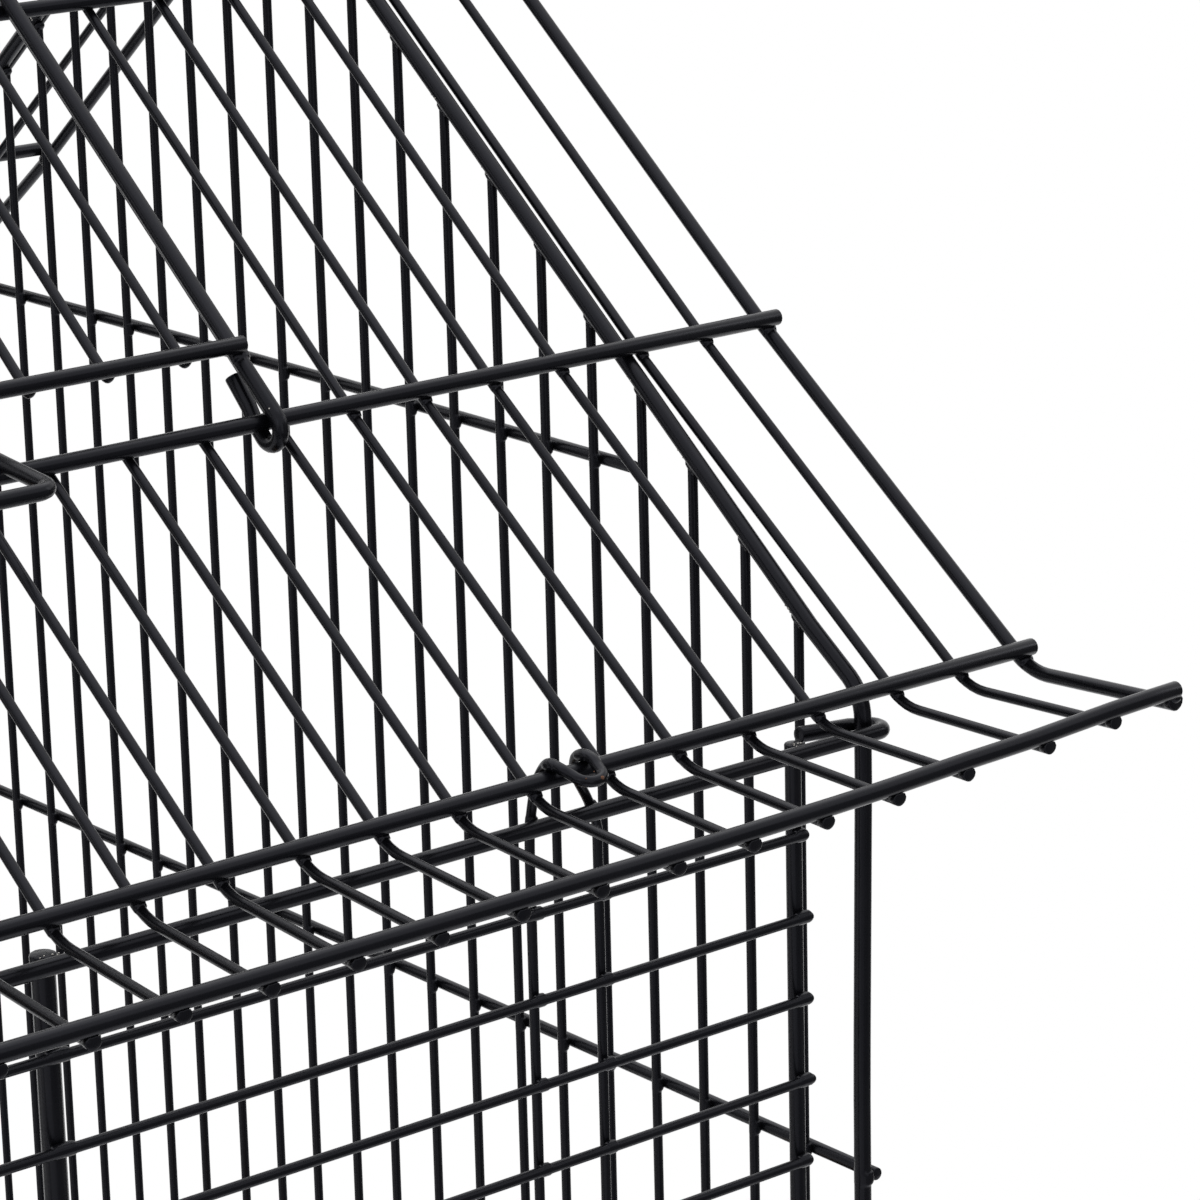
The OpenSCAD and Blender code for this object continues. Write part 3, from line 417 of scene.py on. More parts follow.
setup(tree, shader, [(grain, 0.5, beechLook["grainDepth"]), (fleck, 0.3, beechLook["fleckDepth"])],
      Base_Color=tone, Roughness=follow(tree, grain, *beechLook["rough"]))
print("stage: materials")

# Side panels: a closed outline rod, upright bars inside it and level rails outside
sideSet = {"bars": 25, "rails": 5, "topRail": 29.8, "bend": 9, "barSag": 0.45, "railSag": 0.3, "postPush": 1.0,
           "pushReach": 62, "outlineCoat": 0.1, "wireCoat": 0.05, "mostSpecks": 4, "speck": (0.14, 0.26)}
barStep, crossStep = (2 * halfD - 33.6) / (sideSet["bars"] - 1), (rowGaps * rowGap - 24) / (sideSet["rails"] - 1)


def barY(k):
    return -halfD + 16.8 + k * barStep


def gableZ(y):
    return cornerZ + (halfD - abs(y)) * math.tan(slope)


def crossZ(k):
    return cornerZ + sideSet["topRail"] - k * crossStep


def sidePanel(sx):
    x = sx * halfW
    outline, bars, rails, specks = Piece(), Piece(), Piece(), Piece()
    bend = sideSet["bend"]
    ring = arcPath([(x, 0, wallBottom), (x, -halfD, wallBottom), (x, -halfD, cornerZ - 90), (x, -halfD, cornerZ),
                    (x, 0, gableZ(0)), (x, halfD, cornerZ), (x, halfD, wallBottom), (x, 0.01, wallBottom)],
                   [bend, 1, bend, bend, bend, bend])
    fine = []
    for p, q in zip(ring[:-1], ring[1:-1] + ring[:1]):
        parts = max(1, int((q - p).length / 12))
        fine += [p.lerp(q, k / parts) for k in range(parts)]
    # the front post stands a touch outward near its top bend
    for p in fine:
        push = max(0.0, 1 - abs(p.z - cornerZ + 12) / sideSet["pushReach"]) * (p.y < -halfD + 8)
        p.x = x + sx * sideSet["postPush"] * push
    posts = [weld((x, y, crossZ(k)), (sx, 0, 0), (0, 1, 0), railR)
             for k in range(1, sideSet["rails"]) for y in (-halfD, halfD)]
    outline.tube(fine, thickR + sideSet["outlineCoat"], 16, closed=True, joins=posts)
    barX, railReach = x + sx * (thickR - thinR), barY(20) + 9.6
    for k in range(sideSet["bars"]):
        y = barY(k)
        top = min(gableZ(abs(y) + thinR) - thickR / math.cos(slope), gableZ(0) - 5.2)
        crossed = [weld((barX, y, crossZ(i)), (sx, 0, 0), (0, 1, 0), railR, 0.5)
                   for i in range(sideSet["rails"]) if i or abs(y) < railReach]
        bars.tube(straight((barX, y, wallBottom + thickR - 0.4), (barX, y, top + 0.5), sideSet["barSag"], 10),
                  thinR + sideSet["wireCoat"], 12, joins=crossed)
        # weld beads at the foot and under the sloping top rod
        bars.blob((barX, y, wallBottom + thickR), (0, 1.6, 0), (1.2, 0, 0), (0, 0, 1.0))
        down = -1 if y < 0 else 1
        lean = slope * -down
        bars.blob((barX, y, top + 0.1), (0, 1.9 * math.cos(lean), 1.9 * math.sin(lean)), (1.25, 0, 0),
                  (0, -1.0 * math.sin(lean), 1.0 * math.cos(lean)))
        bars.blob((barX, y + down * 0.85, top - 0.75), (0, 1.0, 0), (0.95, 0, 0), (0, 0, 1.35))
        for j in range(random.randint(1, sideSet["mostSpecks"])):
            turn, at = random.uniform(0.25, 1.2), y + random.uniform(-1.3, 1.3)
            spot = Vector((x - sx * 1.55 * math.cos(turn), at, gableZ(at))) + 1.55 * math.sin(turn) * Vector(
                (0, math.sin(lean), -math.cos(lean)))
            specks.blob(spot, (0.16, 0, 0), (0, random.uniform(*sideSet["speck"]), 0),
                        (0, 0, random.uniform(*sideSet["speck"])))
    for k in range(sideSet["rails"]):
        reach = halfD + 1 if k else railReach
        z, railX = crossZ(k), x + sx * (thickR + railR + touch)
        rails.tube(straight((railX, -reach, z), (railX, reach, z), sideSet["railSag"], 12),
                   railR + sideSet["wireCoat"], ends="cut")
    return outline, bars, rails, specks


for sx, side in ((1, "right"), (-1, "left")):
    outline, bars, rails, specks = sidePanel(sx)
    outline.place("side_outline_" + side, rootBody, coat, "side_frames")
    bars.place("side_bars_" + side, rootBody, coat, "side_bars")
    rails.place("side_rails_" + side, rootBody, coat, "side_rails")
    specks.place("weld_specks_" + side, rootBody, bareSteel)
print("stage: side panels")

# Front and back panels: rails hooked round the corner posts, end posts, door posts and row wires
panelSet = {"lastRow": 32, "hookBend": 3.1, "hookSweep": 165, "hookSink": 0.45, "hookEnd": 11.8, "endRise": 0.95,
            "railBow": 0.2, "wireTrim": 0.6, "wireSag": 0.35, "wireCoat": 0.04,
            "spatter": 5, "spatterSize": (0.14, 0.3)}
openings = {"doorTop": 6, "doorEnd": 25, "feedTop": 19, "feedEnd": 24}  # counted in row wires from the top
doorTop, doorEnd, feedTop, feedEnd = openings.values()


def panelRail(sy, z):
    # the hook sinks a little on its way round the corner post, then its end rises
    bend, sweep = panelSet["hookBend"], panelSet["hookSweep"]
    y, bow = halfD + bend, random.uniform(-panelSet["railBow"], panelSet["railBow"])
    leg = [(halfW + 0.3, 6.2 - y, z - 0.1), (halfW - panelSet["hookEnd"], 6.2 - y, z + panelSet["endRise"])]
    hook = [p - Vector((0, 0, panelSet["hookSink"] * k / 16)) for k, p in
            enumerate(turnPath((halfW + 1.3, -halfD, z), (0, -1, 0), (1, 0, 0), bend, 0, sweep))]
    middle = [(halfW * t, -y, z + bow * (1 - t * t)) for t in (-0.75, -0.5, -0.25, 0.0, 0.25, 0.5, 0.75)]
    return mirrored(mirrored((hook + leg)[::-1], -1) + middle + hook + leg, y=sy)


def panel(sy, spans, uprights):
    # the spatter has draws of its own, so the wires keep theirs when its count changes
    rods, rows, spatter, draw = Piece(), Piece(), Piece(), random.Random(12)
    plane, rowY = sy * backPlane, sy * wireY
    levels = (topRailZ, rowZ(panelSet["lastRow"]))
    for z in levels:
        rods.tube(panelRail(sy, z), thickR, ends="cut")
    for x, r in uprights:
        if r > thinR:
            y = plane + sy * r
            held = [weld((x, plane, z), (0, -sy, 0), (1, 0, 0), thickR, 0.5) for z in levels]
            rods.tube(straight((x, y, wallBottom - thickR), (x, y, topRailZ + thickR - 0.3), 0.1), r,
                      ends="cut", joins=held)
            for j in range(panelSet["spatter"]):
                at = (x + draw.uniform(-r - 0.4, r + 0.4), plane + sy * draw.uniform(-1.2, 0.5), topRailZ + 1.4)
                spatter.blob(at, (draw.uniform(*panelSet["spatterSize"]), 0, 0), (0, 0.16, 0), (0, 0, 0.16))
    for i in range(1, panelSet["lastRow"]):
        z = rowZ(i)
        for x1, x2 in spans(i):
            trim = random.uniform(-panelSet["wireTrim"], panelSet["wireTrim"])
            crossed = [weld((x, plane, z), (0, sy, 0), (0, 0, 1), r, 0.5) for x, r in uprights if x1 < x < x2]
            rows.tube(straight((x1 + trim, rowY, z), (x2 + trim, rowY, z), panelSet["wireSag"], 8),
                      thinR + panelSet["wireCoat"], 12, joins=crossed)
    return rods, rows, spatter


def frontSpans(i):
    # the row wires stop short beside the main door and the feeder openings
    wide = postX + 1.9
    if not doorTop < i < doorEnd:
        return [(-wide, wide)]
    inner = (clipX1 if feedTop < i < feedEnd else doorX) - 3.5
    return [(-wide, -inner), (inner, wide)]


ends = [(s * postX, thickR) for s in (1, -1)]
thinLegs = [(s * x, thinR) for s in (1, -1) for x in (clipX1, clipX2)]
posts = ends + [(s * doorX, postR) for s in (1, -1)] + thinLegs
frontFrame, frontRows, frontSpatter = panel(1, frontSpans, posts)
frontSpatter.place("weld_spatter_front", rootBody, bareSteel)
frontFrame.place("front_rails_and_posts", rootBody, coat, "front_frame")
frontRows.place("front_row_wires", rootBody, coat, "front_wires")
backFrame, backRows, backSpatter = panel(-1, lambda i: [(-postX - 2, postX + 2)], ends + thinLegs)
backSpatter.place("weld_spatter_back", rootBody, bareSteel)
backFrame.place("back_rails_and_posts", rootBody, coat, "back_frame")
backRows.place("back_row_wires", rootBody, coat, "back_wires")

# Hairpins: two thin legs lean over the eave rail and close in a small loop
# A worn spot's place is in from the end of the wall, out from the wall and up, and then comes its size
hairpinSet = {"eyeCoat": 0.13,
              "wornSpots": ((71.45, 15.0, 4.4, 0.42), (74.6, 14.6, 4.9, 0.16), (71.6, 13.0, 5.05, 0.14))}


def hairpin(sx, sy):
    c, z0, y0 = halfW, cornerZ, -halfD
    low = wallBottom - thickR
    up = [(c - 76.2, y0 - 0.7, z0 + z) for z in (-300, -150, -60, -22, -12)]
    over = [(c - 76.05, y0 - 0.9, z0 - 6), (c - 75.8, y0 - 2.3, z0 + 0.8), (c - 75.6, y0 - 4.4, z0 + 4.6),
            (c - 76.1, y0 - 7.0, z0 + 6.1), (c - 75.9, y0 - 9.6, z0 + 5.6), (c - 75.3, y0 - 11.2, z0 + 5.0)]
    eye = [(c - 72.3 - 2.9 * math.cos(math.radians(a)), y0 - 11.5 - 2.8 * math.sin(math.radians(a)),
            z0 + 4.8 - 0.9 * math.sin(math.radians(a))) for a in (30, 60, 90, 120, 150)]
    back = [(c - 69.3, y0 - 11.1, z0 + 5.0), (c - 69.0, y0 - 9.5, z0 + 5.8), (c - 69.0, y0 - 7.0, z0 + 6.2),
            (c - 68.7, y0 - 4.3, z0 + 4.7), (c - 67.2, y0 - 2.4, z0 + 0.9), (c - 63.6, y0 - 1.0, z0 - 4.6)]
    down = [(c - 61.6, y0 - 0.7, z0 - 9.4), (c - 61.4, y0 - 0.7, z0 - 16)]
    down += [(c - 61.4, y0 - 0.7, z0 + z) for z in (-60, -150, -300)]
    path = [(c - 76.2, y0 - 0.7, low)] + softPath(up + over + eye + back + down, 5) + [(c - 61.4, y0 - 0.7, low)]
    joins = [weld((sx * x, sy * (y0 - 7.0), z), (0, 0, -1), (1, 0, 0), thickR, 0.5)
             for x, z in ((c - 76.1, z0 + 6.1), (c - 69.0, z0 + 6.2))]
    lowRail = rowZ(panelSet["lastRow"])
    joins += [weld((sx * (c - x), sy * (y0 - 0.7), z), (0, -sy, 0), (1, 0, 0), thickR, 0.5)
              for x, z in ((76.2, topRailZ), (61.5, topRailZ), (76.2, lowRail), (61.4, lowRail))]
    # the coating lies thicker over the eye
    thick = softPath(over[3:] + eye + back[:3], 5)
    piece = Piece().tube(mirrored(path, sx, sy), thinR, 14, joins=joins)
    return piece.tube(mirrored(thick, sx, sy), thinR + hairpinSet["eyeCoat"], 14)


for sy, name in ((1, "front"), (-1, "back")):
    for sx, side in ((1, "right"), (-1, "left")):
        hairpin(sx, sy).place(name + "_hairpin_" + side, rootBody, coat, name + "_clips")
        if name == "front":
            worn = Piece()
            for x, y, z, size in hairpinSet["wornSpots"]:
                worn.blob((sx * (halfW - x), -halfD - y, cornerZ + z), (size, 0, 0), (0, size * 0.7, 0),
                          (0, 0, size * 0.9))
            worn.place("worn_spots_" + side, rootBody, rustedSteel)
print("stage: front and back panels")

# Roof: the eave stands a little higher towards the verges, as on a hand-fitted roof
# "lift" pairs a distance in from the verge with how far the wires' tips stand up there
roofSet = {"wires": 34, "midBend": 60, "tipLean": 0.009, "mostLean": 2.2, "railSag": 0.15, "railCoat": 0.07,
           "tipCoat": 0.05, "wireCoat": 0.04,
           "lift": [(0, 2.5), (15.7, 2.05), (31.6, 1.05), (50.5, 0.5), (66.4, -0.2), (82.3, -0.6), (110, -0.9),
                    (400, -0.9)]}


def flareLift(x):
    u = halfW + vergeX - abs(x)
    table = roofSet["lift"]
    for (a, p), (b, q) in zip(table, table[1:]):
        if u <= b:
            return p + (q - p) * max(0.0, (u - a)) / (b - a)
    return 0.0


def roofPath(x, shift=(0, 0), long=True):
    lift = flareLift(x)
    top = (onRoof(ridgeS + 2, 0) if long
           else (midWire[0] + 2 * math.cos(lowSlope), midWire[1] + 2 * math.sin(lowSlope)))
    pts = [(tipWire[0], tipWire[1] + lift), eaveBend, midWire, top]
    jitter = random.uniform(-0.15, 0.15)
    lean = math.copysign(min(roofSet["mostLean"], roofSet["tipLean"] * (halfW + vergeX - abs(x))), x)
    trim = 1.9 if abs(x) > halfW + 30 else 1.2
    pts = [(x - lean * (i == 0), y + shift[0] + trim * (i == 0), z + shift[1])
           for i, (y, z) in enumerate(pts if long else (pts[0], pts[1], pts[3]))]
    path = arcPath(pts, [eaveR, roofSet["midBend"]] if long else eaveR)
    return [Vector((p.x + jitter * math.sin(i * 0.5), p.y, p.z)) for i, p in enumerate(path)]


def fullRail(sy, y, z):
    # a rail from verge to verge
    return mirrored(straight((-railHalf, y, z), (railHalf, y, z), roofSet["railSag"], 10), y=sy)


def roof(sy, hasHatch):
    rails, wires = Piece(), Piece()
    railWide = thickR + roofSet["railCoat"]
    for y, z in (midRail, eaveRail, ridgeRail):
        rails.tube(fullRail(sy, y, z), railWide, 16, ends="cut")
    places = [1.2 - railHalf, -halfW - 19, -halfW] + [20 * k - halfW for k in range(1, 28)]
    places += [halfW, halfW + 19, railHalf - 1.2]
    tip = [(x, tipRail[0], tipRail[1] + flareLift(x) * 0.94) for x in places]
    rails.tube(mirrored(softPath(tip, 2), y=sy), thickR + roofSet["tipCoat"], 16, ends="cut")
    y, z = sideRail
    if hasHatch:
        for sx in (1, -1):
            rails.tube(mirrored(straight((hatchX - 2.6, y, z), (railHalf, y, z), 0.1), sx, sy), thickR, 16, ends="cut")
    else:
        rails.tube(fullRail(sy, y, z), railWide, 16, ends="cut")
    spots = [(s * x, r, shift) for s in (1, -1) for x, r, shift in
             ((halfW + vergeX, vergeR, (0.25, -0.3)), (halfW + 19.2, thinR, (0, 0)), (halfW + 3.3, thinR, (0, 0)))]
    spots += [(wireX(k), thinR, (0, 0)) for k in range(roofSet["wires"])]
    for x, r, shift in spots:
        # the wires below the hatch end at the middle rail
        long = not hasHatch or abs(x) > wireX(29) - 1 - 0.5 * roofStep
        run = mirrored(roofPath(x, shift, long), y=sy)
        lift = flareLift(x) * 0.94
        crossed = [(midRail, 0.55), (eaveRail, 0.55), ((tipRail[0], tipRail[1] + lift), 0.8)]
        if long:
            crossed += [(ridgeRail, 0.5), (sideRail, 0.55)]
        joins = []
        for (y, z), web in crossed:
            rail = Vector((run[0].x if web > 0.6 else x, y * sy, z))
            near = [p.lerp(q, t / 4) for p, q in zip(run, run[1:]) for t in range(5)]
            wire = min(near, key=lambda v: (v - rail).length)
            joins.append(weld(wire, rail - wire, (1, 0, 0), thickR, web))
        wires.tube(run, r + roofSet["wireCoat"], 14, ends="cut", joins=joins)
        # the coating closes the corner between the wire's tip and its rail
        middle = (tipRail[1] + lift + run[0].z) / 2
        wires.blob((run[0].x, (tipRail[0] + 0.3) * sy, middle - 0.1), (r * 1.05, 0, 0), (0, 1.3, 0), (0, 0, 1.3))
    return rails, wires


frontRails, frontWires = roof(1, True)
frontRails.place("roof_rails_front", rootBody, coat, "roof_front_rails")
frontWires.place("roof_wires_front", rootBody, coat, "roof_front_wires")
backRails, backWires = roof(-1, False)
backRails.place("roof_rails_back", rootBody, coat, "roof_back_rails")
backWires.place("roof_wires_back", rootBody, coat, "roof_back_wires")

# Open rings clipped round both ridge rails, placed in wire gaps from the middle
ringSet = {"gaps": (-15, -6, 6, 15), "slack": 0.1, "opening": 1.5}
rings = Piece()
railApart, ringR = -ridgeRail[0], thickR + thinR + ringSet["slack"]
for i in ringSet["gaps"]:
    x, z, half = i * roofStep, ridgeRail[1], ringSet["opening"]
    loop = [(x, half, z - ringR)] + turnPath((x, railApart, z), (0, 0, -1), (0, 1, 0), ringR, 0, 180)
    loop += turnPath((x, -railApart, z), (0, 0, 1), (0, -1, 0), ringR, 0, 180) + [(x, -half, z - ringR)]
    rings.tube(loop, thinR)
rings.place("ridge_ring_wires", rootBody, coat, "ridge_rings")
print("stage: roof")


# Hatch, drawn on the slope from the middle rail: s up the slope, o out of the roof
def slopePoint(x, s, o):
    return (x, midRail[0] + s * math.cos(slope) - o * math.sin(slope),
            midRail[1] + s * math.sin(slope) + o * math.cos(slope))


# "glints" are pin-sized and lie where the hook has rubbed through its coating: across, s and o
hatchSet = {"off": 3.2, "low": 13.0, "top": ridgeS - 10.5, "hookBend": 3.15, "rodSag": 0.2, "wireGap": 15.9,
            "glints": ((-0.5, -1.6, 4.25), (-0.15, -2.3, 4.2), (-1.1, -0.2, 4.0))}
hatchOff, hatchLow, hatchTop, hookR = (hatchSet[key] for key in ("off", "low", "top", "hookBend"))
hatch, hatchThin, glints = Piece(), Piece(), Piece()
roofOut = (0, -math.sin(slope), math.cos(slope))
for sx in (1, -1):
    x = sx * hatchX
    hook = [slopePoint(x - sx * 0.6, 11.4, -0.4), slopePoint(x + sx * 0.2, 5.5, -2.1),
            slopePoint(x + sx * 0.2, 2.0, -3.15)]
    hook += [slopePoint(x, -1.3 - hookR * math.sin(a), hatchOff - hookR + hookR * math.cos(a) * -1)
             for a in [math.pi * k / 14 for k in range(15)]]
    joins = [weld(slopePoint(x, s, hatchOff), roofOut, (1, 0, 0), thickR) for s in (hatchLow, hatchTop)]
    hook += [slopePoint(x, s, hatchOff) for s in (30, 70, hatchTop + 2.2)]
    hatch.tube(hook, thickR, 16, ends="cut", joins=joins)
    for across, s, o in hatchSet["glints"]:
        glints.blob(slopePoint(x + across, s, o), (0.2, 0, 0), (0, 0.24, 0), (0, 0, 0.2))
for s in (hatchLow, hatchTop):
    o = hatchOff + 2 * thickR + touch
    rodEnd, otherEnd = slopePoint(-hatchX - 0.3, s, o), slopePoint(hatchX + 0.3, s, o)
    hatch.tube(straight(rodEnd, otherEnd, hatchSet["rodSag"], 10), thickR, 16, ends="cut")
first = hatchX - 11.4
count = round(2 * first / hatchSet["wireGap"])
for k in range(count + 1):
    x = -first + k * 2 * first / count
    o = hatchOff + thickR - thinR
    low, high = slopePoint(x, hatchLow - 0.9, o), slopePoint(x, hatchTop + 0.6, o)
    joins = [weld(slopePoint(x, s, o), roofOut, (1, 0, 0), thickR) for s in (hatchLow, hatchTop)]
    hatchThin.tube(straight(low, high, hatchSet["rodSag"]), thinR + 0.04, 12, joins=joins)
hatch.place("hatch_rods", "hatch", coat, "hatch_frame")
glints.place("hatch_hook_glints", "hatch", bareSteel)
hatchThin.place("hatch_thin_wires", "hatch", coat, "hatch_wires")

# Bent loop that the opened hatch leans on
restSet = {"tilt": 5, "inset": 55.5, "reach": 18.6, "bend": 3.2}
tilt, restReach = math.radians(restSet["tilt"]), -restSet["reach"]
restX, restY, restZ = hatchX - restSet["inset"], midRail[0], midRail[1] + 2 * thickR + touch


def restPoint(x, v):
    return (x, restY + v * math.cos(tilt), restZ + v * math.sin(tilt))


rest = Piece()
restLoop = [restPoint(-restX, 3), restPoint(-restX, restReach), restPoint(restX, restReach), restPoint(restX, 3)]
joins = [weld((sx * restX, restY, restZ), (0, 0, -1), (1, 0, 0), thickR) for sx in (1, -1)]
rest.tube(arcPath(restLoop, restSet["bend"]), thickR, 16, ends="cut", joins=joins)
rest.place("hatch_rest_loop", rootBody, coat, "hatch_rest")
print("stage: hatch")

# Main door: two level rods that end in hooks round the door post, two uprights, thin wires
doorSet = {"slack": 0.25, "hookSweep": 235, "inset": 7.8, "freeSide": 7, "latchReach": 13.5, "overrun": 2}
knuckleR = postR + thickR + doorSet["slack"]
doorY = backPlane + postR - knuckleR
doorIn, doorOut = doorX - doorSet["inset"], -doorX + doorSet["freeSide"]
doorTopZ = (rowZ(doorTop) + rowZ(doorTop + 1)) / 2
doorLowZ = (rowZ(doorEnd - 1) + rowZ(doorEnd)) / 2
doorPostY = doorY + 2 * thickR + touch
doorWireY = doorPostY - thickR - thinR - touch
doorFrame, doorThin = Piece(), Piece()
for z in (doorTopZ, doorLowZ):
    hook = turnPath((doorX, doorY + knuckleR, z), (0, -1, 0), (1, 0, 0), knuckleR, 0, doorSet["hookSweep"], 20)
    doorFrame.tube(straight((doorOut - doorSet["latchReach"], doorY, z), (doorX - 0.5, doorY, z), 0.15, 8) + hook,
                   thickR, 16, ends="cut")
for x in (doorIn, doorOut):
    over = doorSet["overrun"]
    joins = [weld((x, doorPostY, z), (0, -1, 0), (1, 0, 0), thickR) for z in (doorTopZ, doorLowZ)]
    doorFrame.tube(straight((x, doorPostY, doorLowZ - over), (x, doorPostY, doorTopZ + over), 0.1), thickR, 16,
                   ends="cut", joins=joins)
for i in range(doorTop + 1, doorEnd):
    joins = [weld((x, doorWireY, rowZ(i)), (0, 1, 0), (0, 0, 1), r, 0.5)
             for x, r in ((doorIn, thickR), (doorOut, thickR), (doorX / 3, thinR), (-doorX / 3, thinR))]
    doorThin.tube(straight((doorOut - 2, doorWireY, rowZ(i)), (doorIn + 2, doorWireY, rowZ(i)), 0.2, 8), thinR, 12,
                  joins=joins)
for x in (doorX / 3, -doorX / 3):
    y = doorWireY + 2 * thinR + touch
    doorThin.tube(straight((x, y, doorLowZ + thickR + 0.1), (x, y, doorTopZ - thickR - 0.1), 0.15), thinR, 12)
doorFrame.place("door_rods", "main_door", coat, "door_frame")
doorThin.place("door_thin_wires", "main_door", coat, "door_wires")

# Feeder flaps: curled over a row wire, with a short finger wire at the bottom
flapSet = {"rod": 1.2, "slack": 0.15, "curl": 230, "wireGap": 14, "nextRod": 7, "lipHalf": 12}
flapR, nextRod, lipHalf = flapSet["rod"], flapSet["nextRod"], flapSet["lipHalf"]
flapHang = thinR + flapR + flapSet["slack"]
flapY = wireY - flapHang
flapX1, flapX2 = doorX + 8.5, clipX1 - 7
for sx, side in ((1, "right"), (-1, "left")):
    top, low = rowZ(feedTop), rowZ(feedEnd)
    flap, railY = Piece(), flapY - flapR - thinR - touch
    curl = [(wireY - flapHang * math.cos(a), top + flapHang * math.sin(a)) for a in
            [math.radians(flapSet["curl"] * k / 18) for k in range(19)]]
    for x in (flapX1, flapX2):
        points = [(x, flapY, low - 2.4), (x, flapY, (low + top) / 2)] + [(x, y, z) for y, z in curl]
        joins = [weld((sx * x, flapY, z), (0, -1, 0), (1, 0, 0), thinR, 0.5) for z in (low, top - nextRod)]
        flap.tube(mirrored(points, sx), flapR, 14, joins=joins)
    for z in (low, top - nextRod):
        flap.tube(mirrored(straight((flapX1 - 2.5, railY, z), (flapX2 + 2.5, railY, z), 0.1), sx), thinR, 12)
    gaps = round((flapX2 - flapX1) / flapSet["wireGap"])
    for k in range(1, gaps):
        x, inner = flapX1 + k * (flapX2 - flapX1) / gaps, flapY - flapR + thinR
        joins = [weld((sx * x, inner, z), (0, -1, 0), (1, 0, 0), thinR, 0.5) for z in (low, top - nextRod)]
        flap.tube(mirrored(straight((x, inner, low - 2), (x, inner, top - 5), 0.1), sx), thinR, 12, joins=joins)
    middle, out = (flapX1 + flapX2) / 2, railY - 2 * thinR - touch
    lip = [(middle - lipHalf, out, low), (middle - 9, out - 0.4, low - 0.2), (middle, out - 0.5, low - 0.3),
           (middle + 9, out - 0.4, low - 0.2), (middle + lipHalf, out, low)]
    flap.tube(mirrored(softPath(lip, 4), sx), thinR, 12)
    flap.place("feeder_flap_wires_" + side, "feeder_flap_" + side, coat, "feeder_door_" + side)

# Swing: one wire hooked over the back ridge rail at both ends
swingSet = {"gapsWide": 3, "drop": 150, "bend": 2.2, "slack": 0.25}
swing = Piece()
swingR, swingX = thickR + railR + swingSet["slack"], swingSet["gapsWide"] * roofStep
hungY, hungZ = -ridgeRail[0], ridgeRail[1]
lowZ = hungZ - swingSet["drop"]
tips = [(hungY + swingR, hungZ - 3)]
tips += [(hungY + swingR * math.cos(a), hungZ + swingR * math.sin(a)) for a in [math.pi * k / 14 for k in range(15)]]
hanger = arcPath([(-swingX, hungY - swingR, hungZ), (-swingX, hungY - swingR, lowZ),
                  (swingX, hungY - swingR, lowZ), (swingX, hungY - swingR, hungZ)], swingSet["bend"])
swing.tube([(-swingX, y, z) for y, z in tips] + hanger[1:-1] + [(swingX, y, z) for y, z in tips[::-1]], railR, 14)
swing.place("swing_wire", "swing", coat, "swing_hanger")
print("stage: doors and swing")

# CAD pieces that stay: a real surface, and edges softened by this many millimetres
stayingSet = {
    "door_latch_plate": (coat, 0.3), "bolt_keeper": (coat, 0.3), "door_bolt": (zinc, 0.3),
    "feed_cup_left": (cupPlastic, 0.5), "feed_cup_right": (cupPlastic, 0.5),
    "perches": (beech, 0.6), "swing_perch": (beech, 0.5),
    "base_sides": (sheetCoat, 0.35), "base_back": (sheetCoat, 0.35), "base_front": (sheetCoat, 0.35),
    "tray_pan": (sheetCoat, 0.5), "tray_handle": (coat, 0.0), "grate_frame": (coat, 0.3),
    "stand_left": (sheetCoat, 0.8), "stand_right": (sheetCoat, 0.8), "cross_bars": (sheetCoat, 0.6),
    "stand_bolts": (zinc, 0.35), "caster_stems": (zinc, 0.3),
}


def dress(name, material, edge, segments=2):
    obj = nodes[name]
    obj.data.materials.clear()
    obj.data.materials.append(material)
    if edge:
        bevel = obj.modifiers.new("edges", "BEVEL")
        bevel.width, bevel.segments, bevel.limit_method = edge * 0.001, segments, "ANGLE"
        bevel.angle_limit = math.radians(35)
        bevel.harden_normals = False


for name, (material, edge) in stayingSet.items():
    dress(name, material, edge)
for corner in ("fl", "fr", "bl", "br"):
    dress("caster_fork_" + corner, zinc, 0.35)
    dress("caster_wheel_" + corner, nylon, 1.2, 3)

# Grate wires with rounded ends, welded on the grate's frame
grateSet = {"wireGap": 15, "rod": 2, "wireSag": 0.2, "x": halfW + 8 - 1.2 - 4, "z": 742 + 1.2 + 2.3}
grateX, grateRod = grateSet["x"], grateSet["rod"]
gratePiece, total = Piece(), round(2 * (halfW + 2.8) / grateSet["wireGap"])
for k in range(1, total):
    x, z = -grateX + k * 2 * grateX / total, grateSet["z"] + grateRod + thinR + touch
    joins = [weld((x, y, z), (0, 0, -1), (1, 0, 0), grateRod)
             for y in (-halfD - 8 + 3 + 2.6, halfD + 8 - 1.2 - 3 - 2.4)]
    gratePiece.tube(straight((x, -halfD - 8 + 2.6, z), (x, halfD + 8 - 6.2, z), grateSet["wireSag"], 8), thinR, 10,
                    joins=joins)
gratePiece.place("grate_thin_wires", "grate", coat, "grate_wires")

# Shelf: a frame of thick rods between the legs, and thin wires across it
shelfSet = {"z": 190, "rod": 2.5, "inset": 13, "wireGap": 20, "rodSag": 0.3}
legX, legY, shelfZ, shelfR = halfW - 4, halfD - 4, shelfSet["z"], shelfSet["rod"]
shelfX = legX - shelfSet["inset"]
shelfRods, shelfThin = Piece(), Piece()
z = shelfZ + 12.52
for s in (-1, 1):
    shelfRods.tube(straight((-shelfX, s * legY, z), (shelfX, s * legY, z), shelfSet["rodSag"], 8), shelfR, 16)
for x in (-shelfX, 0, shelfX):
    shelfRods.tube(straight((x, -legY + 2.52, z), (x, legY - 2.52, z), 0.2), shelfR, 16)
    for s in (-1, 1):
        shelfRods.blob((x, s * (legY - 2.6), z), (2.9, 0, 0), (0, 1.2, 0), (0, 0, 2.7))
total = round(2 * (legY - 4) / shelfSet["wireGap"])
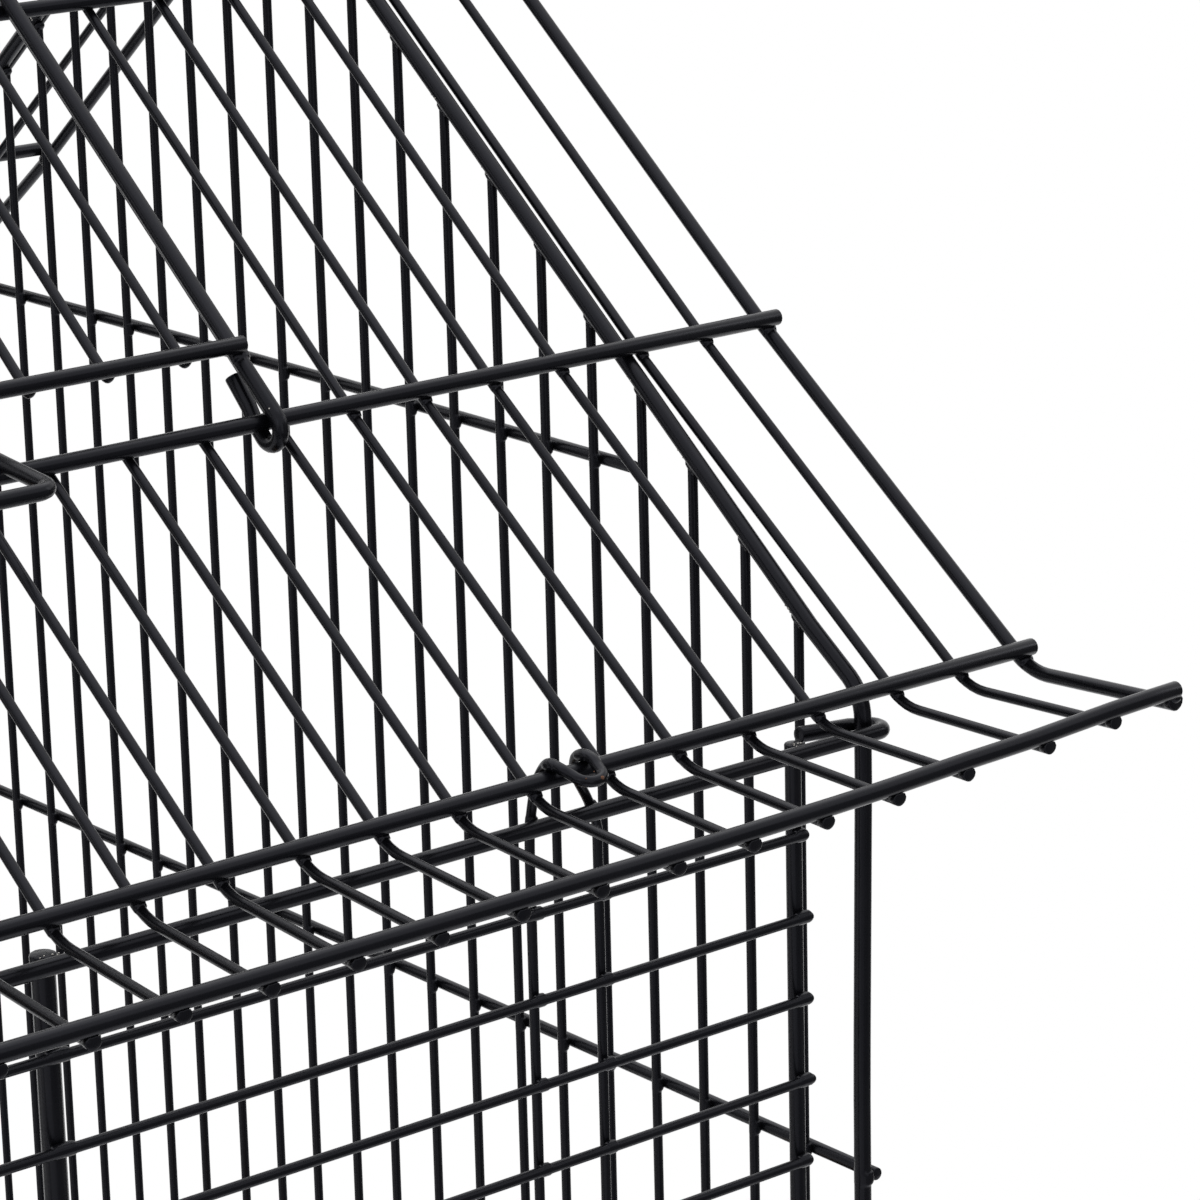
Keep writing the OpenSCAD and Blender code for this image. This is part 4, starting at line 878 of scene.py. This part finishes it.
for k in range(total + 1):
    y, high = -legY + 4 + k * 2 * (legY - 4) / total, shelfZ + 15.04 + thinR
    joins = [weld((x, y, high), (0, 0, -1), (0, 1, 0), shelfR) for x in (-shelfX, 0, shelfX)]
    shelfThin.tube(straight((-legX + 12, y, high), (legX - 12, y, high), shelfSet["rodSag"], 10), thinR, 10,
                   joins=joins)
shelfRods.place("shelf_rods", rootBody, coat, "shelf_frame")
shelfThin.place("shelf_thin_wires", rootBody, coat, "shelf_wires")
print("stage: fittings")

# Studio, in metres: lamps have a place, a target, a size and a power; cards a place, a size and a shade
studioSet = {
    "floor": "#f4f4f6", "fade": (0.7, 1.5), "near": 0.65, "far": 1.2, "bright": (0.56, 0.72, 0.4),
    "lamps": {"top_softbox": ((0.4, 0.8, 3.7), (0, 0, 1.0), (3.8, 3.8), 35),
              "right_strip": ((2.6, -1.1, 1.9), (0.2, 0, 1.1), (0.25, 2.4), 4),
              "left_strip": ((-2.2, -1.7, 1.8), (0, 0, 1.1), (0.25, 2.4), 4)},
    "cards": {"near_card": ((-1.7, -2.1, 0.9), (2.6, 2.2), 0.45),
              "front_card": ((1.7, -2.3, 1.1), (2.8, 2.6), 0.27),
              "low_card": ((0.7, -1.5, 0.02), (3.2, 1.8), 0.24),
              "right_card": ((2.4, -0.6, 0.7), (1.7, 2.2), 0.08),
              "left_card": ((-1.2, 2.2, 0.7), (1.5, 2.2), 0.1)},
}


def seenRay(tree):
    # 1 for rays from the camera and for those mirrored or passed on by the object
    path = node(tree, "ShaderNodeLightPath")
    most = node(tree, "ShaderNodeMath", {"operation": "MAXIMUM"}, in0=path.outputs["Is Camera Ray"],
                in1=path.outputs["Is Glossy Ray"])
    return node(tree, "ShaderNodeMath", {"operation": "MAXIMUM"}, in0=most.outputs[0],
                in1=path.outputs["Is Transmission Ray"]).outputs[0]


# Floor: pale, keeps the shadow near the stand and fades to clean white further out
floorMat, tree, shader = newMaterial("studio_floor")
setup(tree, shader, Base_Color=hexColor(studioSet["floor"]), Roughness=0.7)
where = node(tree, "ShaderNodeTexCoord").outputs["Object"]
far = node(tree, "ShaderNodeVectorMath", {"operation": "LENGTH"}, in0=where).outputs[1]
fadeFrom, fadeTo = studioSet["fade"]
far = node(tree, "ShaderNodeMapRange", Value=far, From_Min=fadeFrom, From_Max=fadeTo).outputs[0]
strength = node(tree, "ShaderNodeMapRange", Value=seenRay(tree), To_Min=0.25, To_Max=1.0).outputs[0]
white = node(tree, "ShaderNodeEmission", Color=(1, 1, 1, 1), Strength=strength)
mixed = node(tree, "ShaderNodeMixShader", in0=far, in1=shader.outputs[0], in2=white.outputs[0])
tree.links.new(mixed.outputs[0], tree.nodes["Material Output"].inputs["Surface"])
bpy.ops.mesh.primitive_plane_add(size=40, location=(0, 0, 0))
floor = bpy.context.object
floor.name = "studio_floor"
floor.data.materials.append(floorMat)

# World: clean white to look at, and a bright far side and a dim near side as light
world = bpy.data.worlds.new("studio")
bpy.context.scene.world = world
world.use_nodes = True
tree = world.node_tree
seen = tree.nodes["Background"]
seen.inputs["Color"].default_value = (1, 1, 1, 1)
direction = node(tree, "ShaderNodeTexCoord").outputs["Generated"]
away = node(tree, "ShaderNodeVectorMath", {"operation": "DOT_PRODUCT"}, in0=direction,
            in1=studioSet["bright"]).outputs[1]
glow = node(tree, "ShaderNodeMapRange", Value=away, From_Min=0.0, From_Max=0.95, To_Min=studioSet["near"],
            To_Max=studioSet["far"]).outputs[0]
soft = node(tree, "ShaderNodeBackground", Color=(0.94, 0.96, 1.0, 1), Strength=glow)
pick = node(tree, "ShaderNodeMixShader", in0=seenRay(tree), in1=soft.outputs[0], in2=seen.outputs[0])
tree.links.new(pick.outputs[0], tree.nodes["World Output"].inputs["Surface"])


def lamp(name, place, target, size, power):
    data = bpy.data.lights.new(name, "AREA")
    data.shape, data.size, data.size_y = "RECTANGLE", size[0], size[1]
    data.energy = power
    obj = bpy.data.objects.new(name, data)
    bpy.context.scene.collection.objects.link(obj)
    obj.location = place
    obj.rotation_euler = (Vector(target) - Vector(place)).to_track_quat("-Z", "Y").to_euler()


def card(name, place, size, shade):
    # a grey card that shows in reflections alone, as one held beside the lens in a studio does
    m, tree, shader = newMaterial(name)
    glow = node(tree, "ShaderNodeEmission", Color=(0.95, 0.96, 1.0, 1), Strength=shade)
    tree.links.new(glow.outputs[0], tree.nodes["Material Output"].inputs["Surface"])
    bpy.ops.mesh.primitive_plane_add(size=1, location=place)
    obj = bpy.context.object
    obj.name = name
    obj.scale = (size[0], size[1], 1)
    obj.rotation_euler = (Vector((0, 0, 1.1)) - Vector(place)).to_track_quat("Z", "Y").to_euler()
    obj.data.materials.append(m)
    obj.visible_camera = obj.visible_diffuse = obj.visible_shadow = obj.visible_transmission = False


for name, settings in studioSet["lamps"].items():
    lamp(name, *settings)
for name, settings in studioSet["cards"].items():
    card(name, *settings)

# Camera: fitted to the photograph's own lines; its place is in millimetres from the right front corner
photoView = {"azimuth": -38.7143, "elevation": 16.0674, "roll": -1.4002, "lens": 135.47,
             "right": -46.470, "up": 17.230, "back": 810.508}
az, el, roll = (math.radians(photoView[key]) for key in ("azimuth", "elevation", "roll"))
back = Vector((math.sin(az) * math.cos(el), -math.cos(az) * math.cos(el), math.sin(el)))
level = Vector((math.cos(az), math.sin(az), 0))
upright = back.cross(level)
right = level * math.cos(roll) + upright * math.sin(roll)
top = upright * math.cos(roll) - level * math.sin(roll)
corner = Vector((halfW, -halfD, cornerZ))
eye = right * photoView["right"] + top * photoView["up"] + back * photoView["back"] + corner
cameraData = bpy.data.cameras.new("photo_camera")
cameraData.lens, cameraData.sensor_width = photoView["lens"], 36
cameraData.clip_start, cameraData.clip_end = 0.01, 100
camera = bpy.data.objects.new("photo_camera", cameraData)
bpy.context.scene.collection.objects.link(camera)
turn = Matrix((right, top, back)).transposed()
camera.matrix_world = Matrix.Translation(eye * 0.001) @ turn.to_4x4()
bpy.context.scene.camera = camera
bpy.context.scene.view_settings.view_transform = "Standard"
print("stage: studio")
